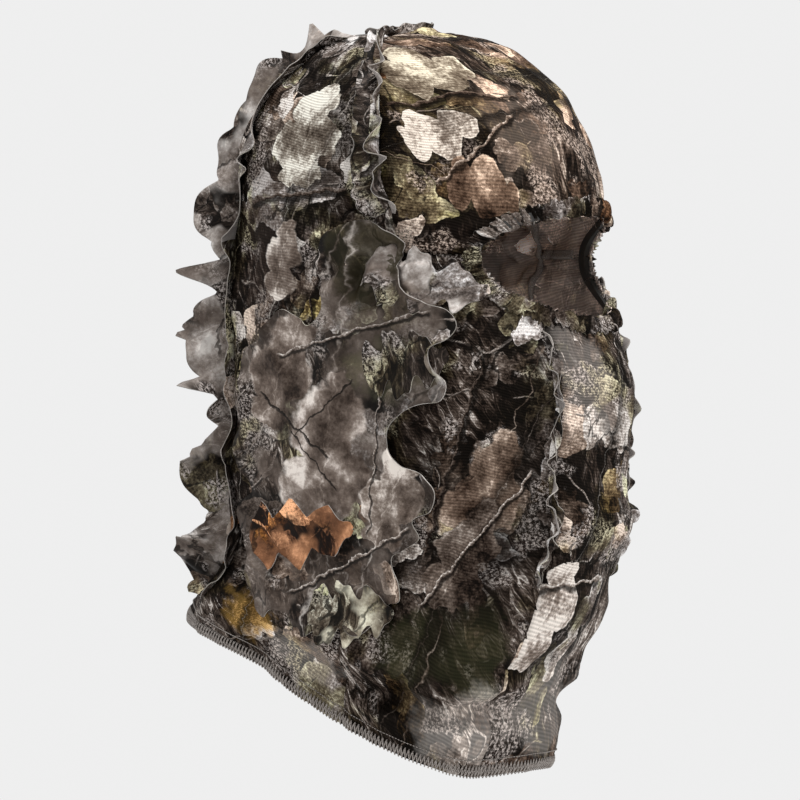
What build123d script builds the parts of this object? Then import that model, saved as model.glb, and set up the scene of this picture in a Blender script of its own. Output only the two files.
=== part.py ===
from build123d import *
import math
import os

os.makedirs("parts", exist_ok=True)

# Frame, in mm: +Z up, the face looks toward -Y, the wearer's left is +X.
# The origin is the inside of the crown, where the top of the head seats.

# Cloth and trim
CLOTH = 1.5  # base knit, doubled where it is sewn
LEAF_CLOTH = 1.2  # leaf-cut ribbons and overlays
FLAP_CLOTH = 1.1  # loose leaves
FLAP_LIFT = 0.4  # air under a loose leaf
SEAM_DEPTH = 1.2  # overlock seam standing inside
SEAM_WIDTH = 5.0
REACH = 200.0  # longer than the hood in any direction from its middle
DEEP = 460.0  # lower than the hem anywhere

# Outer face of the worn hood: height, half width, reach to the front, reach to the back
SECTIONS = [
    (1.5, 8, 4, 20),
    (-3, 30, 23, 38),
    (-10, 46, 42, 55),
    (-20, 56, 57, 69),
    (-36, 67, 75, 85),
    (-57, 74, 90, 96),
    (-85, 77.5, 97, 99.5),
    (-122, 78, 98, 100.5),
    (-150, 77, 103, 102),
    (-174, 75.5, 113, 103.5),
    (-205, 73.5, 117, 104.5),
    (-248, 71, 116.5, 107),
    (-285, 69, 106, 113),
    (-313, 67.5, 95, 139),
    (-333, 66, 82, 144),
    (-350, 65.5, 74, 145),
    (-368, 66, 71.5, 146),
    (-405, 67, 72, 147),
]
SQUARENESS = 2.3  # 2 would be a plain ellipse
RING_POINTS = 16
RING_KNOTS = list(range(RING_POINTS + 1))  # the same on every level, so the skin stays simple

# Seams
CORONAL_SEAM = [
    (14, 12),
    (6, -8),
    (-8, -26),
    (-15, -45),
    (-18, -75),
    (-27, -97),
    (-30, -130),
    (-10, -200),
    (8, -290),
    (12, -425),
]
TEMPLE_SEAM_HEIGHT = -118
FACE_SEAM_X = 38

# Eye opening, an oval cut through the front
EYE_HALF_WIDTH = 60
EYE_UP = 20
EYE_DOWN = 32
EYE_CENTRE_HEIGHT = TEMPLE_SEAM_HEIGHT
EYE_SLANT = 0.6  # the corners lie on the slanting temples, so they look narrower from ahead
EYE_LIP = 1.2
ELASTIC_WIDTH = 5.0
CASING_WIDTH = 9.5

# Hem, seen from the side: it falls from the nape to the chest
HEM_LINE = [
    (165, -303),
    (139, -310),
    (98, -322),
    (66, -333),
    (31, -351),
    (-8, -370),
    (-40, -383),
    (-62, -388),
    (-74, -384),
    (-90, -381),
]
HEM_FOLD = 8.0
HEM_OVERLOCK = 5.0
HEM_THREAD = 0.6

# Leaf ribbons that stand off the cloth
REAR_RIBBON_X = 38
FACE_RIBBON_X = 40
RIBBON_FOOT = 12
CROWN_BACK = 60  # the crown ribbon's outline starts this far behind the origin
CROWN_LIFT = 0.3  # it rides this far off the tight curve of the crown
REAR_EDGE = [
    (40, -1),
    (58, -8),
    (66, -24),
    (86, -38),
    (90, -54),
    (104, -66),
    (113, -90),
    (106, -104),
    (112, -116),
    (123, -126),
    (117, -140),
    (106, -142),
    (113, -160),
    (109, -172),
    (123, -182),
    (112, -192),
    (106, -204),
    (105, -220),
    (113, -232),
    (118, -246),
    (108, -256),
    (113, -264),
    (133, -276),
    (130, -292),
    (122, -301),
    (70, -301),
    (50, -60),
    (20, -20),
]
FACE_EDGE = [
    (-97, -160),
    (-106, -166),
    (-108, -178),
    (-104, -184),
    (-113, -196),
    (-108, -206),
    (-113, -222),
    (-107, -232),
    (-111, -246),
    (-104, -256),
    (-106, -268),
    (-96, -284),
    (-60, -284),
    (-60, -160),
]
CROWN_EDGE = [
    (0, 8),
    (10, 4),
    (20, 8),
    (31, 0),
    (43, 1),
    (50, -11),
    (62, -13),
    (64, -25),
    (75, -32),
    (73, -44),
    (82, -52),
    (79, -66),
    (86, -76),
    (81, -88),
    (81, -98),
    (55, -98),
    (35, -40),
    (0, -20),
]

# Leaf-edged overlay on each cheek, seen from the side
CHEEK_OVERLAY = [
    (-12, -106),
    (-34, -112),
    (-30, -136),
    (-46, -148),
    (-54, -160),
    (-47, -172),
    (-55, -186),
    (-40, -196),
    (-27, -206),
    (-27, -222),
    (-48, -236),
    (-44, -252),
    (-34, -262),
    (-27, -276),
    (-32, -290),
    (-22, -302),
    (-8, -312),
    (8, -306),
    (24, -316),
    (40, -304),
    (56, -308),
    (70, -294),
    (66, -276),
    (74, -258),
    (66, -240),
    (74, -218),
    (64, -200),
    (72, -178),
    (60, -160),
    (40, -150),
    (22, -154),
    (10, -136),
    (14, -116),
]

# Loose leaves on each side, seen from the side: root (y, z), length, width, droop
FLAPS = {
    "temple_leaf": (-14, -126, 56, 30, 8),
    "cheek_leaf": (-12, -176, 44, 34, 0),
    "orange_jaw_leaf": (62, -266, 66, 24, -4),
    "green_jaw_leaf": (24, -303, 48, 32, -4),
}
LEAF_LOBES = 3


def ring(half_width, front, back):
    """Points round one level of the hood, a rounded oval with unlike front and back."""
    points = []
    for step in range(RING_POINTS):
        angle = 2 * math.pi * step / RING_POINTS
        across = math.copysign(abs(math.cos(angle)) ** (2 / SQUARENESS), math.cos(angle))
        along = math.copysign(abs(math.sin(angle)) ** (2 / SQUARENESS), math.sin(angle))
        points.append((half_width * across, (back if along > 0 else front) * along))
    return points


def grown_sections(grow):
    """The section table moved out along the surface by grow, in where it is negative."""
    rows = []
    for index, row in enumerate(SECTIONS):
        above = SECTIONS[max(index - 1, 0)]
        below = SECTIONS[min(index + 1, len(SECTIONS) - 1)]
        if index == 0:
            rows.append((row[0] + grow, *row[1:]))
            continue
        radii = []
        for column in (1, 2, 3):
            slope = (above[column] - below[column]) / (above[0] - below[0])
            radii.append(row[column] + grow * math.hypot(1, slope))
        rows.append((row[0], *radii))
    return rows


def hood_form(grow):
    """A filled hood whose skin lies grow outside the outer face of the base cloth."""
    with BuildPart() as form:
        for height, half_width, front, back in grown_sections(grow):
            with BuildSketch(Plane.XY.offset(height)):
                with BuildLine():
                    outline = ring(half_width, front, back)
                    add(Edge.make_spline(outline, periodic=True, parameters=RING_KNOTS))
                make_face()
        loft()
    return form.part


def side_prism(points):
    """A straight-edged outline in the side view, carried right across the hood."""
    with BuildPart() as prism:
        with BuildSketch(Plane.YZ):
            with BuildLine():
                Polyline(*points, close=True)
            make_face()
        extrude(amount=REACH, both=True)
    return prism.part


def ahead_of_seam(shift):
    """Everything in front of the coronal seam, the seam moved back by shift."""
    with BuildPart() as ahead:
        with BuildSketch(Plane.YZ):
            with BuildLine():
                seam = Spline(*[(y + shift, z) for y, z in CORONAL_SEAM])
                Polyline(seam @ 1, (-REACH, -425), (-REACH, 12), seam @ 0)
            make_face()
        extrude(amount=REACH, both=True)
    return ahead.part


def below_hem(rise):
    """Everything under the hem line, the line raised by rise."""
    with BuildPart() as below:
        with BuildSketch(Plane.YZ):
            with BuildLine():
                hem = Spline(*[(y, z + rise) for y, z in HEM_LINE])
                front = (-REACH, HEM_LINE[-1][1] + rise)
                back = (REACH, HEM_LINE[0][1] + rise)
                Polyline(hem @ 1, front, (-REACH, -DEEP), (REACH, -DEEP), back, hem @ 0)
            make_face()
        extrude(amount=REACH, both=True)
    return below.part


def eye_prism(grow):
    """The eye oval grown by grow and carried forward out of the face."""
    with BuildPart() as eye:
        with BuildSketch(Plane.XZ):
            with BuildLine():
                half_width = EYE_HALF_WIDTH + grow * EYE_SLANT
                outline = ring(half_width, EYE_DOWN + grow, EYE_UP + grow)
                Spline(*[(x, z + EYE_CENTRE_HEIGHT) for x, z in outline], periodic=True)
            make_face()
        extrude(amount=REACH)
    return eye.part


def block(low, high):
    """A plain box between two corners."""
    with BuildPart() as box:
        middle = [(a + b) / 2 for a, b in zip(low, high)]
        with Locations(tuple(middle)):
            Box(*[b - a for a, b in zip(low, high)])
    return box.part


def leaf_prism(root_y, root_z, length, width, droop):
    """A lobed leaf outline in the side view, its root at the back and its tip ahead."""
    upper = []
    for lobe in range(LEAF_LOBES):
        start = 0.08 + 0.84 * lobe / LEAF_LOBES
        reach = math.sin(math.pi * (0.25 + 0.6 * lobe / LEAF_LOBES))
        upper.append((start, 0.36 * reach))
        upper.append((start + 0.10, 0.5 * reach))
        upper.append((start + 0.20, 0.46 * reach))
    outline = [(0, 0.3), *upper, (1, 0), *[(u, -v) for u, v in reversed(upper)], (0, -0.3)]
    points = [(root_y - u * length, root_z + v * width - u * droop) for u, v in outline]
    return side_prism(points)


def across(sign, low_x, high_x, low, high):
    """A box from low_x to high_x out from the middle, on the side that sign names."""
    left, right = sorted((sign * low_x, sign * high_x))
    return block((left, *low), (right, *high))


def save(part, name):
    part.label = name
    export_step(part, f"parts/{name}.step")


# Nested skins of the hood, all cut off together at the hem
outer_face = hood_form(0)
inner_face = hood_form(-CLOTH)
leaf_face = hood_form(LEAF_CLOTH)
seam_face = hood_form(-CLOTH - SEAM_DEPTH)
flap_inner_face = hood_form(LEAF_CLOTH + FLAP_LIFT)
flap_outer_face = hood_form(LEAF_CLOTH + FLAP_LIFT + FLAP_CLOTH)

hem_cut = below_hem(0)
with BuildPart() as cloth_layer:
    add(outer_face)
    add(inner_face, mode=Mode.SUBTRACT)
    add(hem_cut, mode=Mode.SUBTRACT)
with BuildPart() as leaf_layer:
    add(leaf_face)
    add(outer_face, mode=Mode.SUBTRACT)
    add(hem_cut, mode=Mode.SUBTRACT)
with BuildPart() as seam_layer:
    add(inner_face)
    add(seam_face, mode=Mode.SUBTRACT)
    add(hem_cut, mode=Mode.SUBTRACT)
with BuildPart() as flap_layer:
    add(flap_outer_face)
    add(flap_inner_face, mode=Mode.SUBTRACT)

SIDES = {"right": -1, "left": 1}
half = {side: across(sign, 0, REACH, (-REACH, -DEEP), (REACH, 40)) for side, sign in SIDES.items()}
ahead = ahead_of_seam(0)
above_temple = block((-REACH, -REACH, TEMPLE_SEAM_HEIGHT), (REACH, REACH, 40))
below_temple = block((-REACH, -REACH, -DEEP), (REACH, REACH, TEMPLE_SEAM_HEIGHT))
face_strip = block((-FACE_SEAM_X, -REACH, -DEEP), (FACE_SEAM_X, 0, TEMPLE_SEAM_HEIGHT))
eye_cut = eye_prism(EYE_LIP + ELASTIC_WIDTH)

# Base panels
with BuildPart() as front_crown_panel:
    add(cloth_layer.part)
    add(ahead, mode=Mode.INTERSECT)
    add(above_temple, mode=Mode.INTERSECT)
    add(eye_cut, mode=Mode.SUBTRACT)
save(front_crown_panel.part, "front_crown_panel")

with BuildPart() as face_panel:
    add(cloth_layer.part)
    add(face_strip, mode=Mode.INTERSECT)
    add(eye_cut, mode=Mode.SUBTRACT)
save(face_panel.part, "face_panel")

with BuildPart() as both_cheeks:
    add(cloth_layer.part)
    add(ahead, mode=Mode.INTERSECT)
    add(below_temple, mode=Mode.INTERSECT)
    add(face_strip, mode=Mode.SUBTRACT)
    add(eye_cut, mode=Mode.SUBTRACT)

with BuildPart() as both_rears:
    add(cloth_layer.part)
    add(ahead, mode=Mode.SUBTRACT)

for side in SIDES:
    with BuildPart() as cheek_panel:
        add(both_cheeks.part)
        add(half[side], mode=Mode.INTERSECT)
    save(cheek_panel.part, f"cheek_panel_{side}")
    with BuildPart() as rear_panel:
        add(both_rears.part)
        add(half[side], mode=Mode.INTERSECT)
    save(rear_panel.part, f"rear_panel_{side}")

# Eye rim: an elastic inside a casing of cloth folded round it
with BuildPart() as eye_elastic:
    add(cloth_layer.part)
    add(eye_cut, mode=Mode.INTERSECT)
    add(eye_prism(EYE_LIP), mode=Mode.SUBTRACT)
save(eye_elastic.part, "eye_elastic")

casing_zone = eye_prism(CASING_WIDTH)
with BuildPart() as eye_casing:
    add(leaf_face)
    add(seam_face, mode=Mode.SUBTRACT)
    add(casing_zone, mode=Mode.INTERSECT)
    add(eye_prism(0), mode=Mode.SUBTRACT)
    add(eye_elastic.part, mode=Mode.SUBTRACT)
    add(front_crown_panel.part, mode=Mode.SUBTRACT)
    add(face_panel.part, mode=Mode.SUBTRACT)
    add(both_cheeks.part, mode=Mode.SUBTRACT)
save(eye_casing.part, "eye_casing")

# Hem: the cloth turned up inside, the raw edge overlocked outside
hem_zone = below_hem(HEM_FOLD)
with BuildPart() as hem_fold:
    add(seam_layer.part)
    add(hem_zone, mode=Mode.INTERSECT)
save(hem_fold.part, "hem_fold")

with BuildPart() as hem_overlock_thread:
    add(hood_form(HEM_THREAD))
    add(seam_face, mode=Mode.SUBTRACT)
    add(below_hem(HEM_OVERLOCK), mode=Mode.INTERSECT)
    add(below_hem(-HEM_THREAD), mode=Mode.SUBTRACT)
    add(cloth_layer.part, mode=Mode.SUBTRACT)
    add(hem_fold.part, mode=Mode.SUBTRACT)
save(hem_overlock_thread.part, "hem_overlock_thread")

# Overlocked seams standing inside, each trimmed where it meets the one before
with BuildPart() as coronal_seam:
    add(seam_layer.part)
    add(ahead_of_seam(SEAM_WIDTH / 2), mode=Mode.INTERSECT)
    add(ahead_of_seam(-SEAM_WIDTH / 2), mode=Mode.SUBTRACT)
    add(hem_zone, mode=Mode.SUBTRACT)
save(coronal_seam.part, "coronal_seam")

centre_slot = block((-SEAM_WIDTH / 2, 0, -DEEP), (SEAM_WIDTH / 2, REACH, 40))
with BuildPart() as centre_back_seam:
    add(seam_layer.part)
    add(centre_slot, mode=Mode.INTERSECT)
    add(ahead_of_seam(SEAM_WIDTH / 2), mode=Mode.SUBTRACT)
    add(hem_zone, mode=Mode.SUBTRACT)
save(centre_back_seam.part, "centre_back_seam")

seam_low = TEMPLE_SEAM_HEIGHT - SEAM_WIDTH / 2
seam_high = TEMPLE_SEAM_HEIGHT + SEAM_WIDTH / 2
seam_near = FACE_SEAM_X - SEAM_WIDTH / 2
seam_far = FACE_SEAM_X + SEAM_WIDTH / 2
for side, sign in SIDES.items():
    with BuildPart() as temple_seam:
        add(seam_layer.part)
        add(across(sign, 0, REACH, (-REACH, seam_low), (0, seam_high)), mode=Mode.INTERSECT)
        add(ahead_of_seam(-SEAM_WIDTH / 2), mode=Mode.INTERSECT)
        add(casing_zone, mode=Mode.SUBTRACT)
    save(temple_seam.part, f"temple_seam_{side}")
    with BuildPart() as face_seam:
        add(seam_layer.part)
        add(across(sign, seam_near, seam_far, (-REACH, -DEEP), (0, seam_low)), mode=Mode.INTERSECT)
        add(casing_zone, mode=Mode.SUBTRACT)
        add(hem_zone, mode=Mode.SUBTRACT)
    save(face_seam.part, f"face_seam_{side}")

# Leaf-edged pieces sewn on outside
both_overlays = side_prism(CHEEK_OVERLAY)
for side, sign in SIDES.items():
    with BuildPart() as cheek_overlay:
        add(leaf_layer.part)
        add(both_overlays, mode=Mode.INTERSECT)
        add(half[side], mode=Mode.INTERSECT)
    save(cheek_overlay.part, f"cheek_overlay_{side}")

    rear_inner = REAR_RIBBON_X - RIBBON_FOOT / 2
    rear_outer = REAR_RIBBON_X + RIBBON_FOOT / 2
    rear_low = min(z for y, z in REAR_EDGE)
    rear_strip = across(sign, rear_inner, rear_outer, (40, rear_low), (REACH, 0))
    with BuildPart() as rear_ribbon:
        add(leaf_layer.part)
        add(rear_strip, mode=Mode.INTERSECT)
        add(cheek_overlay.part, mode=Mode.SUBTRACT)
    with BuildPart() as rear_leaves:
        with BuildSketch(Plane.YZ.offset(sign * REAR_RIBBON_X)):
            with BuildLine():
                Polyline(*REAR_EDGE, close=True)
            make_face()
        extrude(amount=LEAF_CLOTH / 2, both=True)
        add(outer_face, mode=Mode.SUBTRACT)
        add(rear_ribbon.part)
    save(rear_leaves.part, f"rear_ribbon_{side}")

    face_inner = FACE_RIBBON_X - RIBBON_FOOT / 2
    face_outer = FACE_RIBBON_X + RIBBON_FOOT / 2
    face_low = min(z for y, z in FACE_EDGE)
    face_high = max(z for y, z in FACE_EDGE)
    with BuildPart() as face_ribbon:
        add(leaf_layer.part)
        add(across(sign, face_inner, face_outer, (-REACH, face_low), (0, face_high)), mode=Mode.INTERSECT)
    with BuildPart() as face_leaves:
        with BuildSketch(Plane.YZ.offset(sign * FACE_RIBBON_X)):
            with BuildLine():
                Polyline(*FACE_EDGE, close=True)
            make_face()
        extrude(amount=LEAF_CLOTH / 2, both=True)
        add(outer_face, mode=Mode.SUBTRACT)
        add(face_ribbon.part)
    save(face_leaves.part, f"face_ribbon_{side}")

crown_low = min(z for x, z in CROWN_EDGE)
crown_seat = hood_form(CROWN_LIFT)
with BuildPart() as crown_ribbon:
    add(leaf_face)
    add(crown_seat, mode=Mode.SUBTRACT)
    add(ahead_of_seam(RIBBON_FOOT / 2), mode=Mode.INTERSECT)
    add(ahead_of_seam(-RIBBON_FOOT / 2), mode=Mode.SUBTRACT)
    add(block((-REACH, -REACH, crown_low), (REACH, REACH, 40)), mode=Mode.INTERSECT)
with BuildPart() as crown_leaves:
    with BuildSketch(Plane.XZ.offset(-CROWN_BACK)):
        with BuildLine():
            other_side = [(-x, z) for x, z in reversed(CROWN_EDGE[1:-1])]
            Polyline(*CROWN_EDGE, *other_side, close=True)
        make_face()
    extrude(amount=REACH)
    add(ahead_of_seam(LEAF_CLOTH), mode=Mode.INTERSECT)
    add(ahead, mode=Mode.SUBTRACT)
    add(crown_seat, mode=Mode.SUBTRACT)
    add(crown_ribbon.part)
save(crown_leaves.part, "crown_ribbon")

# Loose leaves, each on a stitched root
for name, (root_y, root_z, length, width, droop) in FLAPS.items():
    outline = leaf_prism(root_y, root_z, length, width, droop)
    for side in SIDES:
        with BuildPart() as leaf:
            add(flap_layer.part)
            add(outline, mode=Mode.INTERSECT)
            add(half[side], mode=Mode.INTERSECT)
        save(leaf.part, f"{name}_{side}")
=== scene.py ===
import math
import random

import bpy
import numpy as np
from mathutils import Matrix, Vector, noise
from mathutils.bvhtree import BVHTree
from mathutils.geometry import delaunay_2d_cdt


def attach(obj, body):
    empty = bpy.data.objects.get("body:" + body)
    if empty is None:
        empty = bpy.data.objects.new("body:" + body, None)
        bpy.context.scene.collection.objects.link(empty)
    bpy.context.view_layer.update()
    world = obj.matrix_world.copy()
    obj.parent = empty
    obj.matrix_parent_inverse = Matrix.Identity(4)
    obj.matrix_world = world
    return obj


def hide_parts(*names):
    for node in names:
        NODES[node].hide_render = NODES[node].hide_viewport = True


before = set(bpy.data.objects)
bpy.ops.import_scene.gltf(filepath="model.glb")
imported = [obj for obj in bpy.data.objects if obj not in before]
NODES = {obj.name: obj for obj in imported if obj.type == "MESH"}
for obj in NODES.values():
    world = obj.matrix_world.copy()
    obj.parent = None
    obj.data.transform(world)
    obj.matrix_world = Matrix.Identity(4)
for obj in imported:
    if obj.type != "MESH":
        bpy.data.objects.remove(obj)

random.seed(7)
rng = np.random.default_rng(7)
MM = 0.001
KNIT_THICK = 0.0006
LEAF_THICK = 0.00045
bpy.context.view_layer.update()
SIDES = {"right": -1, "left": 1}

# ------------------------------------------------------------------ the hood's form, read from the CAD
PANELS = ["front_crown_panel", "face_panel", "cheek_panel_right", "cheek_panel_left",
          "rear_panel_right", "rear_panel_left", "eye_elastic"]
verts, polys = [], []
for node in PANELS:
    base = len(verts)
    verts += [v.co.copy() for v in NODES[node].data.vertices]
    polys += [tuple(base + i for i in p.vertices) for p in NODES[node].data.polygons]
form = BVHTree.FromPolygons(verts, polys)

DOME_Z = -0.095            # above this the rays fan out from one point, below it they are level
LOW_Z = -0.400
N_AZ = 120
N_DOME = 28
N_DOWN = 90
AXIS_Y = 0.012


def ray_for(az, t):
    """The ray for azimuth az (0 = +X, -90 degrees = the face) and height t.

    t is 0 at the crown, 1 at the dome's foot and 2 below the hem."""
    if t <= 1:
        e = (1 - t) * math.pi / 2
        d = Vector((math.cos(az) * math.cos(e), math.sin(az) * math.cos(e), math.sin(e)))
        return Vector((0, AXIS_Y, DOME_Z)), d
    z = DOME_Z + (t - 1) * (LOW_Z - DOME_Z)
    return Vector((0, AXIS_Y, z)), Vector((math.cos(az), math.sin(az), 0))


T_ROWS = np.concatenate([np.linspace(0, 1, N_DOME, endpoint=False), np.linspace(1, 2, N_DOWN)])
radius = np.full((len(T_ROWS), N_AZ), np.nan)
for i, t in enumerate(T_ROWS):
    for j in range(N_AZ):
        o, d = ray_for(2 * math.pi * j / N_AZ, t)
        hit = form.ray_cast(o + d * 0.3, -d, 0.3)
        if hit[0] is not None:
            radius[i, j] = (hit[0] - o).length
for j in range(N_AZ):       # over the eye opening and below the hem the form is carried on smoothly
    ok = ~np.isnan(radius[:, j])
    radius[:, j] = np.interp(np.arange(len(T_ROWS)), np.nonzero(ok)[0], radius[ok, j])
radius[0, :] = radius[0, :].mean()


def catmull(p0, p1, p2, p3, f):
    return p1 + 0.5 * f * (p2 - p0 + f * (2 * p0 - 5 * p1 + 4 * p2 - p3 + f * (3 * (p1 - p2) + p3 - p0)))


def hood(az, t):
    """Points of the cloth's outer face for arrays of azimuth and height t, in metres."""
    az, t = np.broadcast_arrays(np.asarray(az, float), np.asarray(t, float))
    a = (az / (2 * math.pi) % 1) * N_AZ
    j = np.floor(a).astype(int)
    fa = a - j
    r = np.interp(t, T_ROWS, np.arange(len(T_ROWS)))
    i = np.clip(np.floor(r).astype(int), 0, len(T_ROWS) - 2)
    fr = r - i
    last = len(T_ROWS) - 1
    rows = []
    for di in (-1, 0, 1, 2):
        ii = np.clip(i + di, 0, last)
        cols = [radius[ii, (j + dj) % N_AZ] for dj in (-1, 0, 1, 2)]
        rows.append(catmull(*cols, fa))
    rad = catmull(*rows, fr)
    e = np.where(t <= 1, (1 - t) * math.pi / 2, 0)
    z0 = np.where(t <= 1, DOME_Z, DOME_Z + (t - 1) * (LOW_Z - DOME_Z))
    x = rad * np.cos(az) * np.cos(e)
    y = AXIS_Y + rad * np.sin(az) * np.cos(e)
    z = z0 + rad * np.sin(e)
    return np.stack([x, y, z], -1)


def hood_normal(az, t):
    d = 1e-2
    dn = 4e-3
    tt = np.clip(t, 0.02, 1.999)
    pu = hood(np.asarray(az) + d, tt) - hood(np.asarray(az) - d, tt)
    pv = hood(az, np.minimum(tt + dn, 2)) - hood(az, tt - dn)
    n = np.cross(pv, pu)
    return n / np.maximum(np.linalg.norm(n, axis=-1, keepdims=True), 1e-12)


def fraction(dz):
    """A height in metres as a share of the straight part."""
    return dz / (DOME_Z - LOW_Z)


def t_of_z(z):
    """Height t of a level on the straight part."""
    return 1 + (DOME_Z - z) / (DOME_Z - LOW_Z)


def find(p):
    """Azimuth and height of the ray through a point."""
    p = np.asarray(p, float)
    az = np.arctan2(p[..., 1] - AXIS_Y, p[..., 0])
    flat = np.hypot(p[..., 0], p[..., 1] - AXIS_Y)
    up = p[..., 2] - DOME_Z
    t = np.where(up > 0, 1 - np.arctan2(up, flat) / (math.pi / 2), 1 - up / (DOME_Z - LOW_Z))
    return az, t


def put(x=None, y=None, z=None, side=-1):
    """The point on the hood seen square from the side at (y, z), or from the front or back at (x, z)."""
    if x is None:
        o, d = Vector((side * 0.2, y, z)), Vector((-side, 0, 0))
    else:
        o, d = Vector((x, side * 0.3, z)), Vector((0, -side, 0))
    hit = form.ray_cast(o, d, 0.4)
    if hit[0] is None:
        near = form.find_nearest(Vector((0 if x is None else x, y or 0, z)))
        return np.array(near[0])
    return np.array(hit[0])


# the hem's height round the hood, found from the CAD by halving
hem_t = np.zeros(N_AZ)
for j in range(N_AZ):
    lo, hi = t_of_z(-0.295), 2.0
    for _ in range(14):
        mid = (lo + hi) / 2
        o, d = ray_for(2 * math.pi * j / N_AZ, mid)
        hit = form.ray_cast(o, d, 0.2)
        if hit[0] is not None:
            lo = mid
        else:
            hi = mid
    hem_t[j] = lo


def hem_at(az):
    a = (np.asarray(az) / (2 * math.pi) % 1) * N_AZ
    return np.interp(a, np.arange(N_AZ + 1), np.append(hem_t, hem_t[0]))


# ------------------------------------------------------------------ folds of the worn cloth
def along(points, path):
    """Distance of each (y, z) point from a path of them, and how far along the path it lies (0 to 1)."""
    path = np.asarray(path, float)
    seg = path[1:] - path[:-1]
    length = np.linalg.norm(seg, axis=1)
    start = np.concatenate([[0], np.cumsum(length)])
    best = np.full(points.shape[:-1], 1e9)
    where = np.zeros(points.shape[:-1])
    for k in range(len(seg)):
        rel = points - path[k]
        f = np.clip((rel @ seg[k]) / length[k] ** 2, 0, 1)
        d = np.linalg.norm(rel - f[..., None] * seg[k], axis=-1)
        near = d < best
        best = np.where(near, d, best)
        where = np.where(near, (start[k] + f * length[k]) / start[-1], where)
    return best, where


# folds in the side view, in mm: path of (y, z), height, width; minus is a valley
FOLDS = [
    ([(-34, -330), (-20, -344), (-52, -352), (-72, -352)], -3.2, 6),
    ([(-20, -336), (-50, -345), (-78, -338), (-96, -312), (-104, -285)], 3.4, 9),
    ([(4, -350), (-30, -362), (-60, -366), (-80, -352)], 2.8, 9),
    ([(10, -338), (-24, -352), (-50, -358), (-76, -350)], -2.6, 7),
    ([(40, -300), (20, -318), (-10, -330), (-40, -332), (-80, -318)], 3.0, 12),
    ([(56, -312), (30, -330), (0, -343), (-30, -345)], -2.4, 8),
    ([(-96, -232), (-78, -262), (-58, -284), (-36, -306)], 2.6, 11),
    ([(-80, -236), (-62, -262), (-44, -282)], -2.6, 9),
    ([(-62, -172), (-58, -200), (-52, -236), (-46, -262)], 2.2, 9),
    ([(-72, -170), (-66, -206), (-60, -240)], -1.8, 7),
    ([(-28, -196), (-34, -226), (-28, -262), (-30, -296)], 2.0, 8),
    ([(70, -250), (60, -282), (40, -306)], 2.6, 9),
    ([(84, -262), (74, -292), (60, -318)], -2.4, 8),
    ([(86, -120), (80, -180), (74, -240)], 1.4, 10),
    ([(-44, -30), (-66, -52), (-86, -82)], 1.2, 9),
    ([(-20, -24), (-46, -52), (-62, -88)], -1.0, 8),
    ([(-110, -390), (-80, -388), (-56, -392), (-20, -392)], -4.5, 16),
]
CORONAL = [(14, 12), (6, -8), (-8, -26), (-15, -45), (-18, -75), (-27, -97), (-30, -130), (-10, -200),
           (8, -290), (12, -425)]
CORONAL = np.array(CORONAL) * MM
FACE_X, TEMPLE_Z = 0.038, -0.118
EYE_X, EYE_UP, EYE_DOWN, EYE_Z, SQUARE = 0.060, 0.020, 0.032, -0.118, 2.3


def eye_level(p):
    """Below 1 inside the eye opening, above 1 outside it."""
    dz = p[..., 2] - EYE_Z
    down = np.where(dz > 0, EYE_UP, EYE_DOWN)
    return (np.abs(p[..., 0] / EYE_X) ** SQUARE + np.abs(dz / down) ** SQUARE) ** (1 / SQUARE)


def seam_side(p):
    """Signed distance ahead (plus) of the coronal seam in the side view."""
    d, _ = along(p[..., 1:], CORONAL)
    ys = np.interp(-p[..., 2], -CORONAL[:, 1], CORONAL[:, 0])
    return np.where(p[..., 1] < ys, d, -d)


def fuzz(p, scale, seed=0.0):
    out = np.empty(len(p))
    for i, q in enumerate(p):
        out[i] = noise.noise((q[0] * scale + seed, q[1] * scale + 3.1 * seed, q[2] * scale - seed))
    return out


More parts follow.
